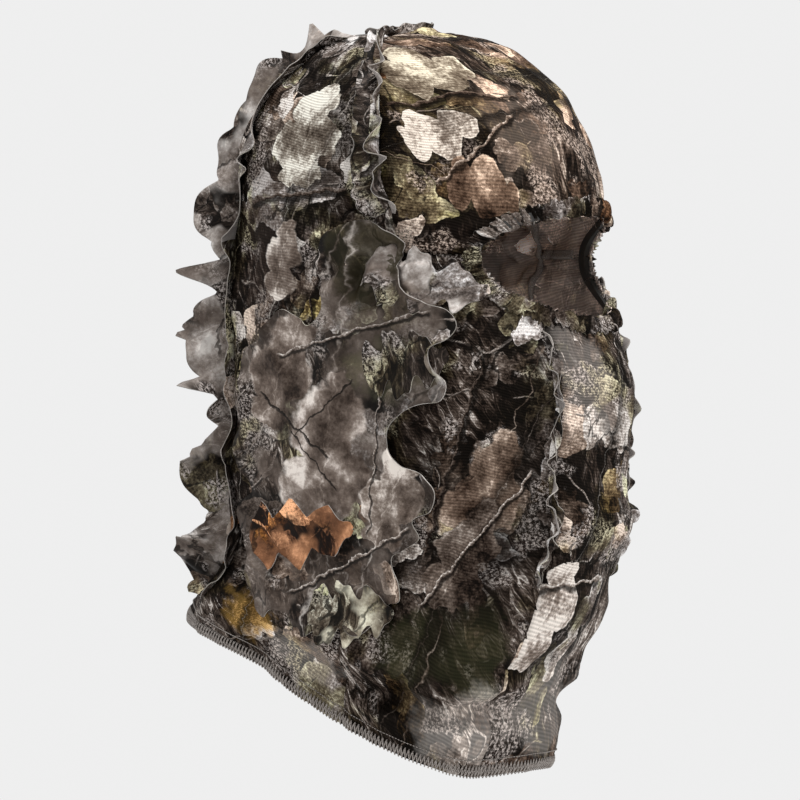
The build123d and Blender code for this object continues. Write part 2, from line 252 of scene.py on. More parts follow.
def drape(p):
    """How far the cloth stands off the smooth form, in metres, at an (n, 3) array of points."""
    d = 0.0030 * fuzz(p, 24, 2) + 0.0009 * fuzz(p, 75,
                                                5) + 0.0030 * (0.2 - np.abs(fuzz(p * (1, 1.3, 0.7), 38, 14)))
    crumple = np.exp(-(((p[:, 1] + 0.014) / 0.026) ** 2
                       + ((p[:, 2] + 0.118) / 0.034) ** 2)) * np.clip((np.abs(p[:, 0]) - 0.03) / 0.02, 0, 1)
    ridges = 1 - 2.4 * np.abs(fuzz(p * (1, 1, 0.75), 62, 21)) - 0.9 * np.abs(fuzz(p, 130, 23))
    d += crumple * 0.0085 * ridges
    chin = np.exp(-(((p[:, 1] + 0.050) / 0.045) ** 2 + ((p[:, 2] + 0.325) / 0.040) ** 2))
    d += chin * 0.0030 * (0.6 - 2.0 * np.abs(fuzz(p * (1, 0.6, 1.5), 34, 31)))
    low = np.clip((-p[:, 2] - 0.26) / 0.08, 0, 1)
    d += low * 0.0026 * fuzz(p * (1, 1, 1.8), 24, 9)
    for path, height, width in FOLDS:
        side = np.where(p[:, 0] < 0, 1.0, 0.75)
        dist, where = along(p[:, 1:] / MM, path)
        ends = np.clip(np.sin(math.pi * np.clip(where * 0.94 + 0.03, 0, 1)) * 1.8, 0, 1)
        inner = np.clip((np.abs(p[:, 0]) - 0.012) / 0.03, 0, 1)
        d += side * inner * ends * 2.0 * height * MM * np.exp(-np.abs(dist / (0.8 * width)) ** 1.5)
    # seams pull the cloth in
    coronal = np.abs(seam_side(p))
    d -= 0.0014 * np.exp(-(coronal / 0.0028) ** 2)
    back = np.abs(p[:, 0]) + np.where(p[:, 1] > 0.02, 0, 1)
    d -= 0.0013 * np.exp(-(back / 0.0026) ** 2)
    low_face = (p[:, 1] < 0) & (p[:, 2] < TEMPLE_Z)
    face = np.abs(np.abs(p[:, 0]) - FACE_X) + np.where(low_face, 0, 1)
    d -= 0.0014 * np.exp(-(face / 0.0026) ** 2)
    temple = np.abs(p[:, 2] - TEMPLE_Z) + np.where((p[:, 1] < 0) & (seam_side(p) > 0), 0, 1)
    d -= 0.0012 * np.exp(-(temple / 0.0026) ** 2)
    # puckers run out from the gathered eye rim
    ring = (eye_level(p) - 1) * 0.032
    angle = np.arctan2((p[:, 2] - EYE_Z) / 0.026, p[:, 0] / EYE_X)
    pucker = np.sin(angle * 37 + 2.2 * np.sin(angle * 9)) * 0.7 + np.sin(angle * 61 + 1.3) * 0.5
    front = (p[:, 1] < -0.02) * np.clip(ring / 0.004, 0, 1)
    d += front * 0.0016 * pucker * np.exp(-np.maximum(ring, 0) / 0.014)
    return d


def cloth(az, t, off=0.0):
    """Points of the worn cloth, off metres outside it, with their normals."""
    az, t = np.broadcast_arrays(np.asarray(az, float), np.asarray(t, float))
    p, n = hood(az, t), hood_normal(az, t)
    flat = p.reshape(-1, 3)
    d = drape(flat).reshape(az.shape)
    return p + n * (d + off)[..., None], n


# ------------------------------------------------------------------ mesh helpers
def mesh_object(name, points, faces, uv=None, materials=(), face_material=None):
    mesh = bpy.data.meshes.new(name)
    mesh.from_pydata([tuple(map(float, q)) for q in points], [], [tuple(map(int, f)) for f in faces])
    if uv is not None:
        layer = mesh.uv_layers.new(name="UVMap")
        index = np.empty(len(mesh.loops), np.int32)
        mesh.loops.foreach_get("vertex_index", index)
        layer.data.foreach_set("uv", np.asarray(uv, np.float32)[index].ravel())
    for m in materials:
        mesh.materials.append(m)
    if face_material is not None:
        mesh.polygons.foreach_set("material_index", np.asarray(face_material, np.int32))
    mesh.polygons.foreach_set("use_smooth", np.ones(len(mesh.polygons), bool))
    mesh.update()
    obj = bpy.data.objects.new(name, mesh)
    bpy.context.scene.collection.objects.link(obj)
    return obj


def grid_faces(rows, cols, wrap=False, flip=False):
    faces = []
    for i in range(rows - 1):
        for j in range(cols if wrap else cols - 1):
            a, b = i * cols + j, i * cols + (j + 1) % cols
            c, d = (i + 1) * cols + (j + 1) % cols, (i + 1) * cols + j
            faces.append((a, d, c, b) if flip else (a, b, c, d))
    return faces


def thicken(obj, thickness, outside=0.0, rim=None, back=None):
    """Gives a sheet its thickness; outside is -1 to grow inward only, 1 outward only."""
    mod = obj.modifiers.new("thick", "SOLIDIFY")
    mod.thickness = thickness
    mod.offset = outside
    mod.use_even_offset = False
    if back is not None:
        mod.material_offset = back
    if rim is not None:
        mod.material_offset_rim = rim
    return obj


def place(obj, body, node=None):
    """Parents a piece to its body's empty and hides the node of model.glb that it stands for."""
    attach(obj, body)
    if node:
        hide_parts(node)
    return obj


# ------------------------------------------------------------------ camera, floor and lights
target = Vector((0, 0, -0.195))
right = Vector((0.5, -0.8660254, 0))
target += right * -0.0111
LENS, WIDE = 190.0, 0.424
distance = WIDE * LENS / 36
azimuth, elevation = math.radians(-60), math.radians(2.0)
toward = Vector((math.sin(azimuth) * math.cos(elevation), -math.cos(azimuth) * math.cos(elevation),
                 math.sin(elevation)))
cam = bpy.data.objects.new("camera", bpy.data.cameras.new("camera"))
cam.data.lens = LENS
cam.data.clip_end = 50
cam.location = target + toward * distance
cam.rotation_euler = (-toward).to_track_quat("-Z", "Y").to_euler()
bpy.context.scene.collection.objects.link(cam)
bpy.context.scene.camera = cam


def plain(name, color, rough=0.9):
    m = bpy.data.materials.new(name)
    m.use_nodes = True
    b = m.node_tree.nodes["Principled BSDF"]
    b.inputs["Base Color"].default_value = (*color, 1)
    b.inputs["Roughness"].default_value = rough
    return m


FLOOR_Z, FLOOR_R = -0.62, 1.5      # far enough under the held-up hood to stay out of the photograph's view
rim = [(FLOOR_R * math.cos(a * math.pi / 32), FLOOR_R * math.sin(a * math.pi / 32),
        FLOOR_Z) for a in range(64)]
floor = mesh_object("floor", rim, [tuple(range(64))], materials=[plain("floor_paper", (0.80, 0.80, 0.80))])
world = bpy.data.worlds.new("studio")
bpy.context.scene.world = world
world.use_nodes = True
world.node_tree.nodes["Background"].inputs["Color"].default_value = (0.86, 0.86, 0.86, 1)
world.node_tree.nodes["Background"].inputs["Strength"].default_value = 1.0
bpy.context.scene.view_settings.view_transform = "Standard"


LIGHT_AIM = (0, 0, -0.2)


def area_light(name, where, size, power):
    light = bpy.data.lights.new(name, "AREA")
    light.shape = "DISK"
    light.size = size
    light.energy = power
    obj = bpy.data.objects.new(name, light)
    obj.location = where
    obj.rotation_euler = (Vector(where) - Vector(LIGHT_AIM)).to_track_quat("Z", "Y").to_euler()
    bpy.context.scene.collection.objects.link(obj)


area_light("key", (-0.45, -0.75, 1.8), 0.4, 34)
area_light("face_side", (0.3, -1.8, 0.6), 1.0, 6)


# ------------------------------------------------------------------ materials
class Nodes:
    """Short names for building a node tree."""

    def __init__(self, tree):
        self.tree = tree

    def add(self, kind, inputs=(), **props):
        n = self.tree.nodes.new(kind)
        for k, v in props.items():
            setattr(n, k, v)
        items = inputs.items() if isinstance(inputs, dict) else enumerate(inputs)
        for k, v in items:
            if v is None:
                continue
            if isinstance(v, bpy.types.NodeSocket):
                self.tree.links.new(v, n.inputs[k])
            else:
                n.inputs[k].default_value = v
        return n

    def m(self, op, a, b=None, c=None):
        return self.add("ShaderNodeMath", (a, b, c), operation=op).outputs[0]

    def mul(self, a, b):
        return self.m("MULTIPLY", a, b)

    def plus(self, a, b):
        return self.m("ADD", a, b)

    def sub(self, a, b):
        return self.m("SUBTRACT", a, b)

    def mad(self, a, b, c):
        """a times b plus c."""
        return self.m("MULTIPLY_ADD", a, b, c)

    def mag(self, a):
        return self.m("ABSOLUTE", a)

    def sine(self, a):
        return self.m("SINE", a)

    def v(self, op, a, b=None):
        n = self.add("ShaderNodeVectorMath", (a, b), operation=op)
        return n.outputs["Value" if op == "LENGTH" else "Vector"]

    def vmul(self, a, b):
        return self.v("MULTIPLY", a, b)

    def vplus(self, a, b):
        return self.v("ADD", a, b)

    def vsub(self, a, b):
        return self.v("SUBTRACT", a, b)

    def scale(self, a, by):
        return self.add("ShaderNodeVectorMath", {0: a, "Scale": by}, operation="SCALE").outputs["Vector"]

    def xyz(self, v):
        n = self.add("ShaderNodeSeparateXYZ", (v,))
        return n.outputs[0], n.outputs[1], n.outputs[2]

    def vec(self, x, y, z=0.0):
        return self.add("ShaderNodeCombineXYZ", (x, y, z)).outputs[0]

    def step(self, value, low, high):
        """0 below low, 1 above high (or the other way round), smooth between."""
        return self.add("ShaderNodeMapRange", (value, low, high, 0.0, 1.0),
                        interpolation_type="SMOOTHSTEP").outputs[0]

    def mix(self, f, a, b, blend="MIX"):
        n = self.add("ShaderNodeMix", data_type="RGBA", blend_type=blend)
        for k, s in ((0, f), (6, a), (7, b)):
            if isinstance(s, bpy.types.NodeSocket):
                self.tree.links.new(s, n.inputs[k])
            else:
                n.inputs[k].default_value = (*s, 1) if isinstance(s, tuple) else s
        return n.outputs[2]

    def noise(self, v, scale, detail=2.0, rough=0.5, distortion=0.0):
        n = self.add("ShaderNodeTexNoise", {"Vector": v, "Scale": scale, "Detail": detail,
                                            "Roughness": rough, "Distortion": distortion},
                     noise_dimensions="2D")
        return n.outputs[0]

    def ramp(self, f, stops, constant=False):
        n = self.add("ShaderNodeValToRGB", (f,))
        r = n.color_ramp
        r.interpolation = "CONSTANT" if constant else "LINEAR"
        while len(r.elements) < len(stops):
            r.elements.new(0.5)
        for e, (pos, color) in zip(r.elements, stops):
            e.position = pos
            e.color = (*color, 1)
        return n.outputs[0]

    def rotate(self, v, angle):
        return self.add("ShaderNodeVectorRotate", {"Vector": v, "Angle": angle},
                        rotation_type="Z_AXIS").outputs[0]


# linear colours of the print
BLACK = (0.004, 0.0028, 0.002)
DARK = (0.018, 0.012, 0.009)
UMBER = (0.046, 0.033, 0.026)
TAUPE = (0.085, 0.066, 0.055)
MID = (0.135, 0.107, 0.091)
GREY = (0.205, 0.172, 0.150)
PALE = (0.36, 0.318, 0.290)
BONE = (0.57, 0.522, 0.488)
WHITE = (0.78, 0.74, 0.70)

TONES = [(0.0, BLACK), (0.13, DARK), (0.27, UMBER), (0.41, TAUPE), (0.54, MID), (0.67, GREY), (0.79, PALE),
         (0.90, BONE), (1.0, WHITE)]
HUES = [(0.0, (1.0, 1.0, 1.0)), (0.30, (1.10, 0.98, 0.88)), (0.50, (0.98, 1.0, 1.04)),
        (0.70, (0.95, 1.0, 0.74)), (0.84, (1.0, 1.0, 1.0)),
        (0.91, (1.18, 1.02, 0.62)), (0.96, (1.35, 0.88, 0.55))]


def leaf_shape(g, x, y, aspect, lobes, phase):
    """Depth inside one lobed leaf along x from -1 to 1 (minus outside it), and its veins."""
    body = g.m("SQRT", g.m("MAXIMUM", g.sub(1.0, g.mul(x, x)), 0.0))
    taper = g.mad(x, -0.3, 1.0)
    turn = g.plus(g.mad(x, lobes / 2, phase), g.mul(g.m("SIGN", y), 0.5))
    wave = g.mad(g.m("POWER", g.mag(g.sine(turn)), 0.75), 0.55, 0.5)
    width = g.mul(g.mul(body, taper), g.mul(wave, aspect))
    away = g.mag(y)
    depth = g.sub(width, away)
    mid = g.step(away, 0.022, 0.006)
    ray = g.mag(g.sine(g.mul(g.mad(away, -1.1, x), 9.0)))
    return depth, g.m("MAXIMUM", mid, g.mul(g.step(ray, 0.10, 0.0), 0.6))


def paint_leaf(g, under, depth, veins, y, tone, hue, grain, fine, keep, aspect, crisp=1.0):
    """One printed leaf over the colours below it: lit on one half, with a soft shadow on the other side."""
    side = g.m("DIVIDE", y, aspect)
    value = g.mad(side, 0.17, tone)
    value = g.plus(value, g.mad(grain, 1.9, -0.95))
    value = g.plus(value, g.mad(fine, crisp, -0.5 * crisp))
    value = g.plus(value, g.mul(veins, 0.13))
    value = g.plus(value, g.mul(g.step(depth, 0.09, 0.02), 0.10))
    color = g.mix(1.0, g.ramp(value, TONES), hue, "MULTIPLY")
    reach = g.mad(side, 0.45, -0.20)
    shadow = g.mul(g.step(depth, g.m("MINIMUM", reach, -0.03), 0.0), g.mul(keep, 0.85 * crisp))
    below = g.mix(shadow, under, BLACK)
    return g.mix(g.mul(g.step(depth, -0.004 - 0.06 * (1 - crisp), 0.012 + 0.06 * (1 - crisp)), keep), below,
                 color)


LEAF_REACH = 0.62          # half length of a leaf, as a share of its cell


def leaf_layer(g, under, p, cell, seed, density, aspect, lobes, low, spread):
    q = g.vplus(g.scale(p, 1 / cell), (seed, seed * 0.37, 0))
    warp = g.add("ShaderNodeTexNoise", {"Vector": q, "Scale": 2.6, "Detail": 4.0},
                 noise_dimensions="2D").outputs[1]
    q = g.vplus(q, g.scale(g.vsub(warp, (0.5, 0.5, 0.5)), 0.30))
    vor = g.add("ShaderNodeTexVoronoi", {"Vector": q, "Scale": 1.0, "Randomness": 0.85},
                voronoi_dimensions="2D")
    pick = g.add("ShaderNodeSeparateColor", (vor.outputs["Color"],))
    local = g.rotate(g.vsub(q, vor.outputs["Position"]), g.mul(pick.outputs[0], 6.283))
    x, y, _ = g.xyz(g.scale(local, 1 / LEAF_REACH))
    depth, veins = leaf_shape(g, x, y, aspect, lobes, g.mul(pick.outputs[1], 6.0))
    tone = g.mad(pick.outputs[1], spread, low)
    hue = g.ramp(g.m("FRACT", g.mul(pick.outputs[2], 7.3)), HUES, constant=True)
    keep = g.m("LESS_THAN", pick.outputs[2], density)
    return paint_leaf(g, under, depth, veins, y, tone, hue, g.noise(q, 2.3, 4.0, 0.62),
                      g.noise(p, 0.55, 3.0, 0.7), keep, aspect)


def twigs(g, under, p, angle, period, width, color, light, seed, cover):
    """Long thin sticks, light along one side and dark below."""
    q = g.rotate(p, angle)
    x, y, _ = g.xyz(q)
    bend = g.noise(g.vplus(g.scale(q, 1 / 75), (seed, seed, 0)), 1.0, 3.0, 0.5)
    line = g.m("FRACT", g.mad(y, 1 / period, g.mul(bend, 2.6)))
    offset = g.mul(g.sub(line, 0.5), period)
    here = g.step(g.noise(g.vplus(g.vmul(q, (1 / 60, 1 / 19, 0)), (seed * 2, 5, 0)), 1.0, 1.0), cover,
                  cover + 0.04)
    thick = g.mul(g.noise(g.scale(q, 1 / 10), 1.0, 2.0), 2 * width)
    away = g.sub(g.mag(offset), thick)
    dark = g.mul(g.mul(g.step(g.sub(g.mag(g.plus(offset, 1.4 * width)), thick), 1.6, 0.0), here), 0.7)
    out = g.mix(dark, under, BLACK)
    grain = g.noise(g.vmul(q, (1 / 5, 1 / 0.7, 0)), 1.0, 3.0, 0.7)
    stick = g.mix(g.step(grain, 0.42, 0.58), color, light)
    stick = g.mix(g.step(offset, 0.0, -width), stick, BLACK)
    return g.mix(g.mul(g.step(away, 0.2, -0.15), here), out, stick)


def branches(g, under, p, cell, seed, width, cover, amount=0.85):
    """Thin dark forking lines."""
    q = g.vplus(g.vmul(p, (1 / cell, 0.6 / cell, 0)), (seed, seed * 0.7, 0))
    warp = g.add("ShaderNodeTexNoise", {"Vector": q, "Scale": 1.7, "Detail": 4.0, "Roughness": 0.6},
                 noise_dimensions="2D").outputs[1]
    q = g.vplus(q, g.scale(g.vsub(warp, (0.5, 0.5, 0.5)), 0.7))
    edge = g.add("ShaderNodeTexVoronoi", {"Vector": q, "Scale": 1.0}, voronoi_dimensions="2D",
                 feature="DISTANCE_TO_EDGE").outputs["Distance"]
    thick = g.mul(g.noise(q, 3.0, 1.0), 2 * width / cell)
    mask = g.step(g.noise(g.vplus(g.scale(p, 1 / (cell * 1.6)), (seed, 2, 0)), 1.0, 2.0), cover, cover + 0.06)
    line = g.mul(g.step(g.sub(edge, thick), 0.012, -0.004), g.mul(mask, amount))
    return g.mix(line, under, BLACK)


def camo_group():
    """The print: bark, leaf litter, lobed leaves in layers, and twigs. Takes millimetres on the flat cloth."""
    tree = bpy.data.node_groups.new("camo_print", "ShaderNodeTree")
    tree.interface.new_socket("Vector", in_out="INPUT", socket_type="NodeSocketVector")
    tree.interface.new_socket("Color", in_out="OUTPUT", socket_type="NodeSocketColor")
    g = Nodes(tree)
    p = tree.nodes.new("NodeGroupInput").outputs[0]
    broad = g.noise(g.scale(p, 1 / 34), 1.0, 3.0, 0.55, 0.4)
    grain = g.noise(g.vmul(g.rotate(p, 1.1), (1 / 11, 1 / 3.4, 0)), 1.0, 7.0, 0.76, 0.8)
    tone = g.mad(g.sub(broad, 0.5), 0.55, grain)
    base = g.ramp(tone, [(0.38, BLACK), (0.46, DARK), (0.52, UMBER), (0.56, TAUPE), (0.60, MID),
                         (0.65, PALE), (0.72, WHITE)])
    out = leaf_layer(g, base, p, 30.0, 3.1, 0.60, 0.50, 8.0, 0.18, 0.42)
    out = branches(g, out, p, 24.0, 2.3, 0.8, 0.50)
    out = leaf_layer(g, out, p, 62.0, 7.7, 0.62, 0.46, 7.0, 0.30, 0.48)
    out = twigs(g, out, p, -0.35, 60.0, 1.2, TAUPE, PALE, 4.0, 0.54)
    out = branches(g, out, p, 33.0, 6.1, 0.55, 0.48)
    out = leaf_layer(g, out, p, 25.0, 12.9, 0.26, 0.48, 7.0, 0.42, 0.50)
    out = twigs(g, out, p, 1.25, 74.0, 0.9, UMBER, BONE, 8.0, 0.56)
    speck = g.noise(g.vplus(g.scale(p, 1 / 1.7), (3, 8, 0)), 1.0, 5.0, 0.8)
    barky = g.step(g.noise(g.vplus(g.scale(p, 1 / 27), (9, 3, 0)), 1.0, 2.0, 0.6), 0.55, 0.62)
    chalk = g.mul(g.step(speck, 0.50, 0.57), barky)
    out = g.mix(g.mul(g.step(speck, 0.50, 0.42), g.mul(barky, 0.85)), out, DARK)
    out = g.mix(g.mul(chalk, 0.80), out, (0.56, 0.50, 0.47))
    moss = g.step(g.noise(g.vplus(g.scale(p, 1 / 40), (1, 14, 0)), 1.0, 3.0, 0.6), 0.54, 0.64)
    out = g.mix(g.mul(moss, 0.75), out, g.mix(1.0, out, (0.93, 0.95, 0.62), "MULTIPLY"))
    pits = g.step(g.noise(p, 0.9, 4.0, 0.75), 0.46, 0.36)
    out = g.mix(g.mul(pits, 0.6), out, BLACK)
    end = tree.nodes.new("NodeGroupOutput")
    tree.links.new(out, end.inputs[0])
    return tree


PRINT = camo_group()


def printed(name, shift=(0, 0), turn=0.0, knit=True, stamps=(), sticks=(), zones=(), calm=None, tint=None,
            hue=None, reverse=False, painted_inside_light=False):
    """A printed cloth, in flat millimetres. stamps are leaves (u, v, length, width, angle, tone, hue, crisp);
    sticks are twigs (u, v, length, width, angle, tone); zones are washes (u, v, half, half, colour, amount);
    calm lays a quiet grey leaf ground over the print: (amount, tone)."""
    mat = bpy.data.materials.new(name)
    mat.use_nodes = True
    g = Nodes(mat.node_tree)
    bsdf = mat.node_tree.nodes["Principled BSDF"]
    uv = g.add("ShaderNodeUVMap", uv_map="UVMap").outputs[0]
    p = g.vplus(g.rotate(uv, turn), (shift[0], shift[1], 0))
    group = g.add("ShaderNodeGroup", node_tree=PRINT)
    mat.node_tree.links.new(p, group.inputs[0])
    color = group.outputs[0]
    grain = g.noise(p, 0.045, 5.0, 0.62)
    fine = g.noise(p, 0.5, 3.0, 0.72)
    if calm is not None:
        value = g.plus(g.mad(grain, 1.5, calm[1] - 0.75), g.mad(fine, 0.24, -0.12))
        quiet = branches(g, g.ramp(value, TONES), p, 36.0, 4.4, 0.7, 0.44, 0.8)
        here = g.step(g.noise(p, 0.035, 2.0, 0.5), 0.56, 0.46)
        color = g.mix(g.mul(here, calm[0]), color, quiet)
    for u, v, half_u, half_v, wash, amount in zones:
        local = g.vmul(g.vsub(uv, (u, v, 0)), (1 / half_u, 1 / half_v, 0))
        near = g.plus(g.v("LENGTH", local), g.mad(grain, 2.0, -1.0))
        color = g.mix(g.mul(g.step(near, 1.15, 0.6), amount), color,
                      g.mix(0.5, g.mix(1.0, color, tuple(4 * c for c in wash), "MULTIPLY"), wash))
    rough_edge = g.add("ShaderNodeTexNoise", {"Vector": uv, "Scale": 0.10, "Detail": 4.0},
                       noise_dimensions="2D").outputs[1]
    rough_edge = g.vsub(rough_edge, (0.5, 0.5, 0.5))
    for u, v, length, width, angle, tone, hue, crisp in stamps:
        local = g.rotate(g.vsub(uv, (u, v, 0)), -math.radians(angle))
        local = g.vplus(g.scale(local, 2 / length), g.scale(rough_edge, 0.32))
        x, y, _ = g.xyz(local)
        aspect = width / length * 1.2
        depth, veins = leaf_shape(g, x, y, aspect, 7.0, 1.2 + u)
        color = paint_leaf(g, color, depth, veins, y, tone, hue, grain, fine, 1.0, aspect, crisp)
    for u, v, length, width, angle, tone in sticks:
        local = g.vplus(g.rotate(g.vsub(uv, (u, v, 0)), -math.radians(angle)), g.scale(rough_edge, 7.0))
        x, y, _ = g.xyz(local)
        inside = g.mul(g.step(g.mag(x), length / 2, length / 2 - 3), 1.0)
        stick = g.ramp(g.plus(g.mad(y, 0.5 / width, tone), g.mad(fine, 1.2, -0.6)), TONES)
        under = g.mul(g.step(g.mag(g.plus(y, width)), width * 1.3, width * 0.3), g.mul(inside, 0.85))
        color = g.mix(under, color, BLACK)
        color = g.mix(g.mul(g.step(g.mag(y), width * 0.6, width * 0.4), inside), color, stick)
    if hue is not None:
        color = g.mix(1.0, color, hue, "MULTIPLY")
    if tint is not None:
        color = g.mix(tint[0], color, tint[1])
    if reverse:
        color = g.mix(0.50, color, g.ramp(g.mad(grain, 1.6, -0.12), TONES))
        color = g.mix(0.42, color, (0.44, 0.41, 0.395))
    # painted light: the inside's print is brightened about four times and paled, standing in for the light that
    # reaches the hood's inside
    if painted_inside_light:
        color = g.mix(0.35, g.mix(1.0, color, (4.0, 3.7, 3.5), "MULTIPLY"), (0.66, 0.58, 0.54))
    u, v, _ = g.xyz(uv)
    if knit:
        wander = g.noise(g.scale(uv, 1 / 40), 1.0, 1.0)
        rib = g.sine(g.mul(g.plus(g.mad(u, 0.16, v), g.mul(wander, 7.0)), 2 * math.pi / 1.5))
        height = g.plus(rib, g.mul(g.sine(g.mul(u, 2 * math.pi / 1.1)), 0.25))
        shade = g.mad(rib, 0.17, 0.95)
        color = g.mix(1.0, color, g.vec(shade, shade, shade), "MULTIPLY")
        strength, depth_m = 0.4, 0.0003
    else:
        weave = g.sine(g.mul(g.plus(u, v), 2 * math.pi / 0.9))
        height = g.plus(g.mul(weave, 0.5), g.mul(fine, 2.0))
        strength, depth_m = 0.2, 0.0002
    bump = g.add("ShaderNodeBump", {"Strength": strength, "Distance": depth_m, "Height": height})
    mat.node_tree.links.new(color, bsdf.inputs["Base Color"])
    mat.node_tree.links.new(bump.outputs[0], bsdf.inputs["Normal"])
    bsdf.inputs["Roughness"].default_value = 0.75 if knit else 0.55
    bsdf.inputs["Specular IOR Level"].default_value = 0.04 if knit else 0.10
    return mat


# ------------------------------------------------------------------ base cloth
N_COL = 288
Z_PITCH = 0.0023
t_dome = np.linspace(0.03, 1, 58, endpoint=False)
z_rows = DOME_Z - Z_PITCH * np.arange(0, 85)
az_cols = -math.pi / 2 + 2 * math.pi * np.arange(N_COL) / N_COL
hem_cols = hem_at(az_cols)
rows_t = [np.full(N_COL, t) for t in t_dome] + [np.full(N_COL, t_of_z(z)) for z in z_rows]
N_LOW = 42
for k in range(1, N_LOW + 1):
    rows_t.append(t_of_z(z_rows[-1]) + (hem_cols - t_of_z(z_rows[-1])) * k / N_LOW)
grid_t = np.array(rows_t)
grid_az = np.broadcast_to(az_cols, grid_t.shape).copy()
plain_points = hood(grid_az, grid_t)
n_rows = len(grid_t)


def snap(level):
    """Moves grid points a little so that the line level = 0 runs along grid edges."""
    global plain_points
    f = level(plain_points)
    for axis in (1, 0):
        for step in (1, -1):
            g = np.roll(f, -step, axis=axis)
            cross = (f * g < 0) & (np.abs(f) <= np.abs(g))
            if axis == 0:
                cross[-1 if step == 1 else 0] = False
            share = f / np.where(f == g, 1, f - g)
            for grid in (grid_az, grid_t):
                other = np.roll(grid, -step, axis=axis)
                delta = other - grid
                if grid is grid_az:
                    delta = (delta + math.pi) % (2 * math.pi) - math.pi
                grid[cross] += (share * delta)[cross]
            plain_points = hood(grid_az, grid_t)
            f = level(plain_points)
            f[np.abs(f) < 2e-5] = 0


def signed_coronal(p):
    return seam_side(p.reshape(-1, 3)).reshape(p.shape[:2])


def signed_eye(p):
    level = eye_level(p)
    return np.where(p[..., 1] < 0, (level - 1) * 0.03, 1.0)


def signed_face(p):
    low = (p[..., 1] < 0) & (p[..., 2] < TEMPLE_Z + 0.004)
    return np.where(low, np.abs(p[..., 0]) - FACE_X, 1.0)


snap(signed_coronal)
snap(signed_face)
snap(signed_eye)
points, _ = cloth(grid_az, grid_t)
faces = grid_faces(n_rows, N_COL, wrap=True, flip=True)
centre = plain_points.reshape(-1, 3)[np.array(faces)].mean(1)
inside_eye = (centre[:, 1] < 0) & (eye_level(centre) < 0.995)
ahead = seam_side(centre) > 0
high = centre[:, 2] > TEMPLE_Z
strip = (np.abs(centre[:, 0]) < FACE_X) & (centre[:, 1] < 0) & ~high
which = np.where(ahead & high, 0, np.where(strip, 1,
                                           np.where(ahead, np.where(centre[:, 0] < 0, 2, 3),
                                                    np.where(centre[:, 0] < 0, 4, 5))))
# distance down each meridian, for the print
down = np.zeros(grid_t.shape)
smooth_points = hood(np.broadcast_to(az_cols, grid_t.shape), grid_t)
down[1:] = np.cumsum(np.linalg.norm(np.diff(smooth_points, axis=0), axis=-1), axis=0) / MM
mean_down = down.mean(axis=1, keepdims=True) * np.ones_like(down)


def panel_uv(middle_az):
    """Flat-pattern place of every grid point, measured round each level from one meridian, in mm."""
    edge = np.linalg.norm(np.roll(smooth_points, -1, axis=1) - smooth_points, axis=-1) / MM
    total = np.concatenate([np.zeros((n_rows, 1)), np.cumsum(edge, axis=1)], axis=1)
    a = ((grid_az + math.pi / 2) / (2 * math.pi)) % 1 * N_COL
    j = np.clip(np.floor(a).astype(int), 0, N_COL - 1)
    rows = np.arange(n_rows)[:, None]
    at = total[rows, j] + (total[rows, j + 1] - total[rows, j]) * (a - j)
    m = ((middle_az + math.pi / 2) / (2 * math.pi)) % 1 * N_COL
    mid = total[:, int(m)][:, None]
    full = total[:, -1][:, None]
    u = (at - mid + full / 2) % full - full / 2
    return np.stack([u, -mean_down], -1).reshape(-1, 2)


panel_specs = [
    ("front_crown_panel", -math.pi / 2),
    ("face_panel", -math.pi / 2),
    ("cheek_panel_right", math.radians(-140)),
    ("cheek_panel_left", math.radians(-40)),
    ("rear_panel_right", math.radians(150)),
    ("rear_panel_left", math.radians(30)),
]
PANEL_UV = {name: panel_uv(middle) for name, middle in panel_specs}
FLAT_PLAIN = plain_points.reshape(-1, 3)
LEAF_GREY, LEAF_WARM = (1.0, 0.98, 0.96), (1.1, 0.97, 0.86)
# what the print shows at certain places, by side-view (y, z) on one side of the hood, in mm:
# leaves (y, z, length, width, angle, tone, hue, crisp), twigs (y, z, length, width, angle, tone),
# washes (y, z, half width, half height, colour, amount)
SHOWN = {
    "front_crown_panel": dict(leaves=[(-48, -55, 40, 24, 8, 0.90, (0.93, 0.98, 1.0), 1.0),
                                      (-33, -22, 44, 34, -5, 0.74, (0.94, 1.0, 0.92), 0.9),
                                      (-70, -84, 40, 24, -25, 0.56, LEAF_WARM, 0.8)],
                              twigs=[(-50, -38, 70, 1.8, -4, 0.30), (-66, -64, 60, 1.3, 30, 0.62)],
                              washes=[(-82, -57, 26, 26, PALE, 0.35), (-14, -62, 16, 34, BLACK, 0.75)]),
    "face_panel": dict(leaves=[(-92, -300, 46, 26, 70, 0.86, LEAF_GREY, 0.9)],
                       twigs=[(-84, -288, 110, 1.7, 4, 0.72)],
                       washes=[(-111, -182, 24, 30, BONE, 0.35), (-80, -358, 40, 18, WHITE, 0.35)]),
    "cheek_panel_right": dict(leaves=[(-72, -240, 70, 30, 70, 0.42, LEAF_WARM, 0.7),
                                      (-62, -270, 60, 26, 62, 0.34, LEAF_GREY, 0.8)],
                              twigs=[(-56, -222, 110, 1.5, 74, 0.20), (-68, -262, 90, 1.2, 50, 0.66)],
                              washes=[(-46, -322, 40, 17, (0.045, 0.046, 0.022), 0.8),
                                      (-57, -362, 34, 14, WHITE, 0.5)]),
    "rear_panel_right": dict(leaves=[(28, -56, 62, 34, 80, 0.78, (0.97, 1.0, 0.95), 0.9),
                                     (40, -120, 44, 22, 70, 0.66, LEAF_GREY, 0.5)],
                             twigs=[(34, -87, 70, 2.4, 6, 0.34), (20, -140, 60, 1.3, 75, 0.2)],
                             washes=[(72, -306, 17, 22, (0.36, 0.22, 0.06), 0.9),
                                     (55, -110, 20, 60, UMBER, 0.45), (30, -330, 30, 12, WHITE, 0.35)]),
}


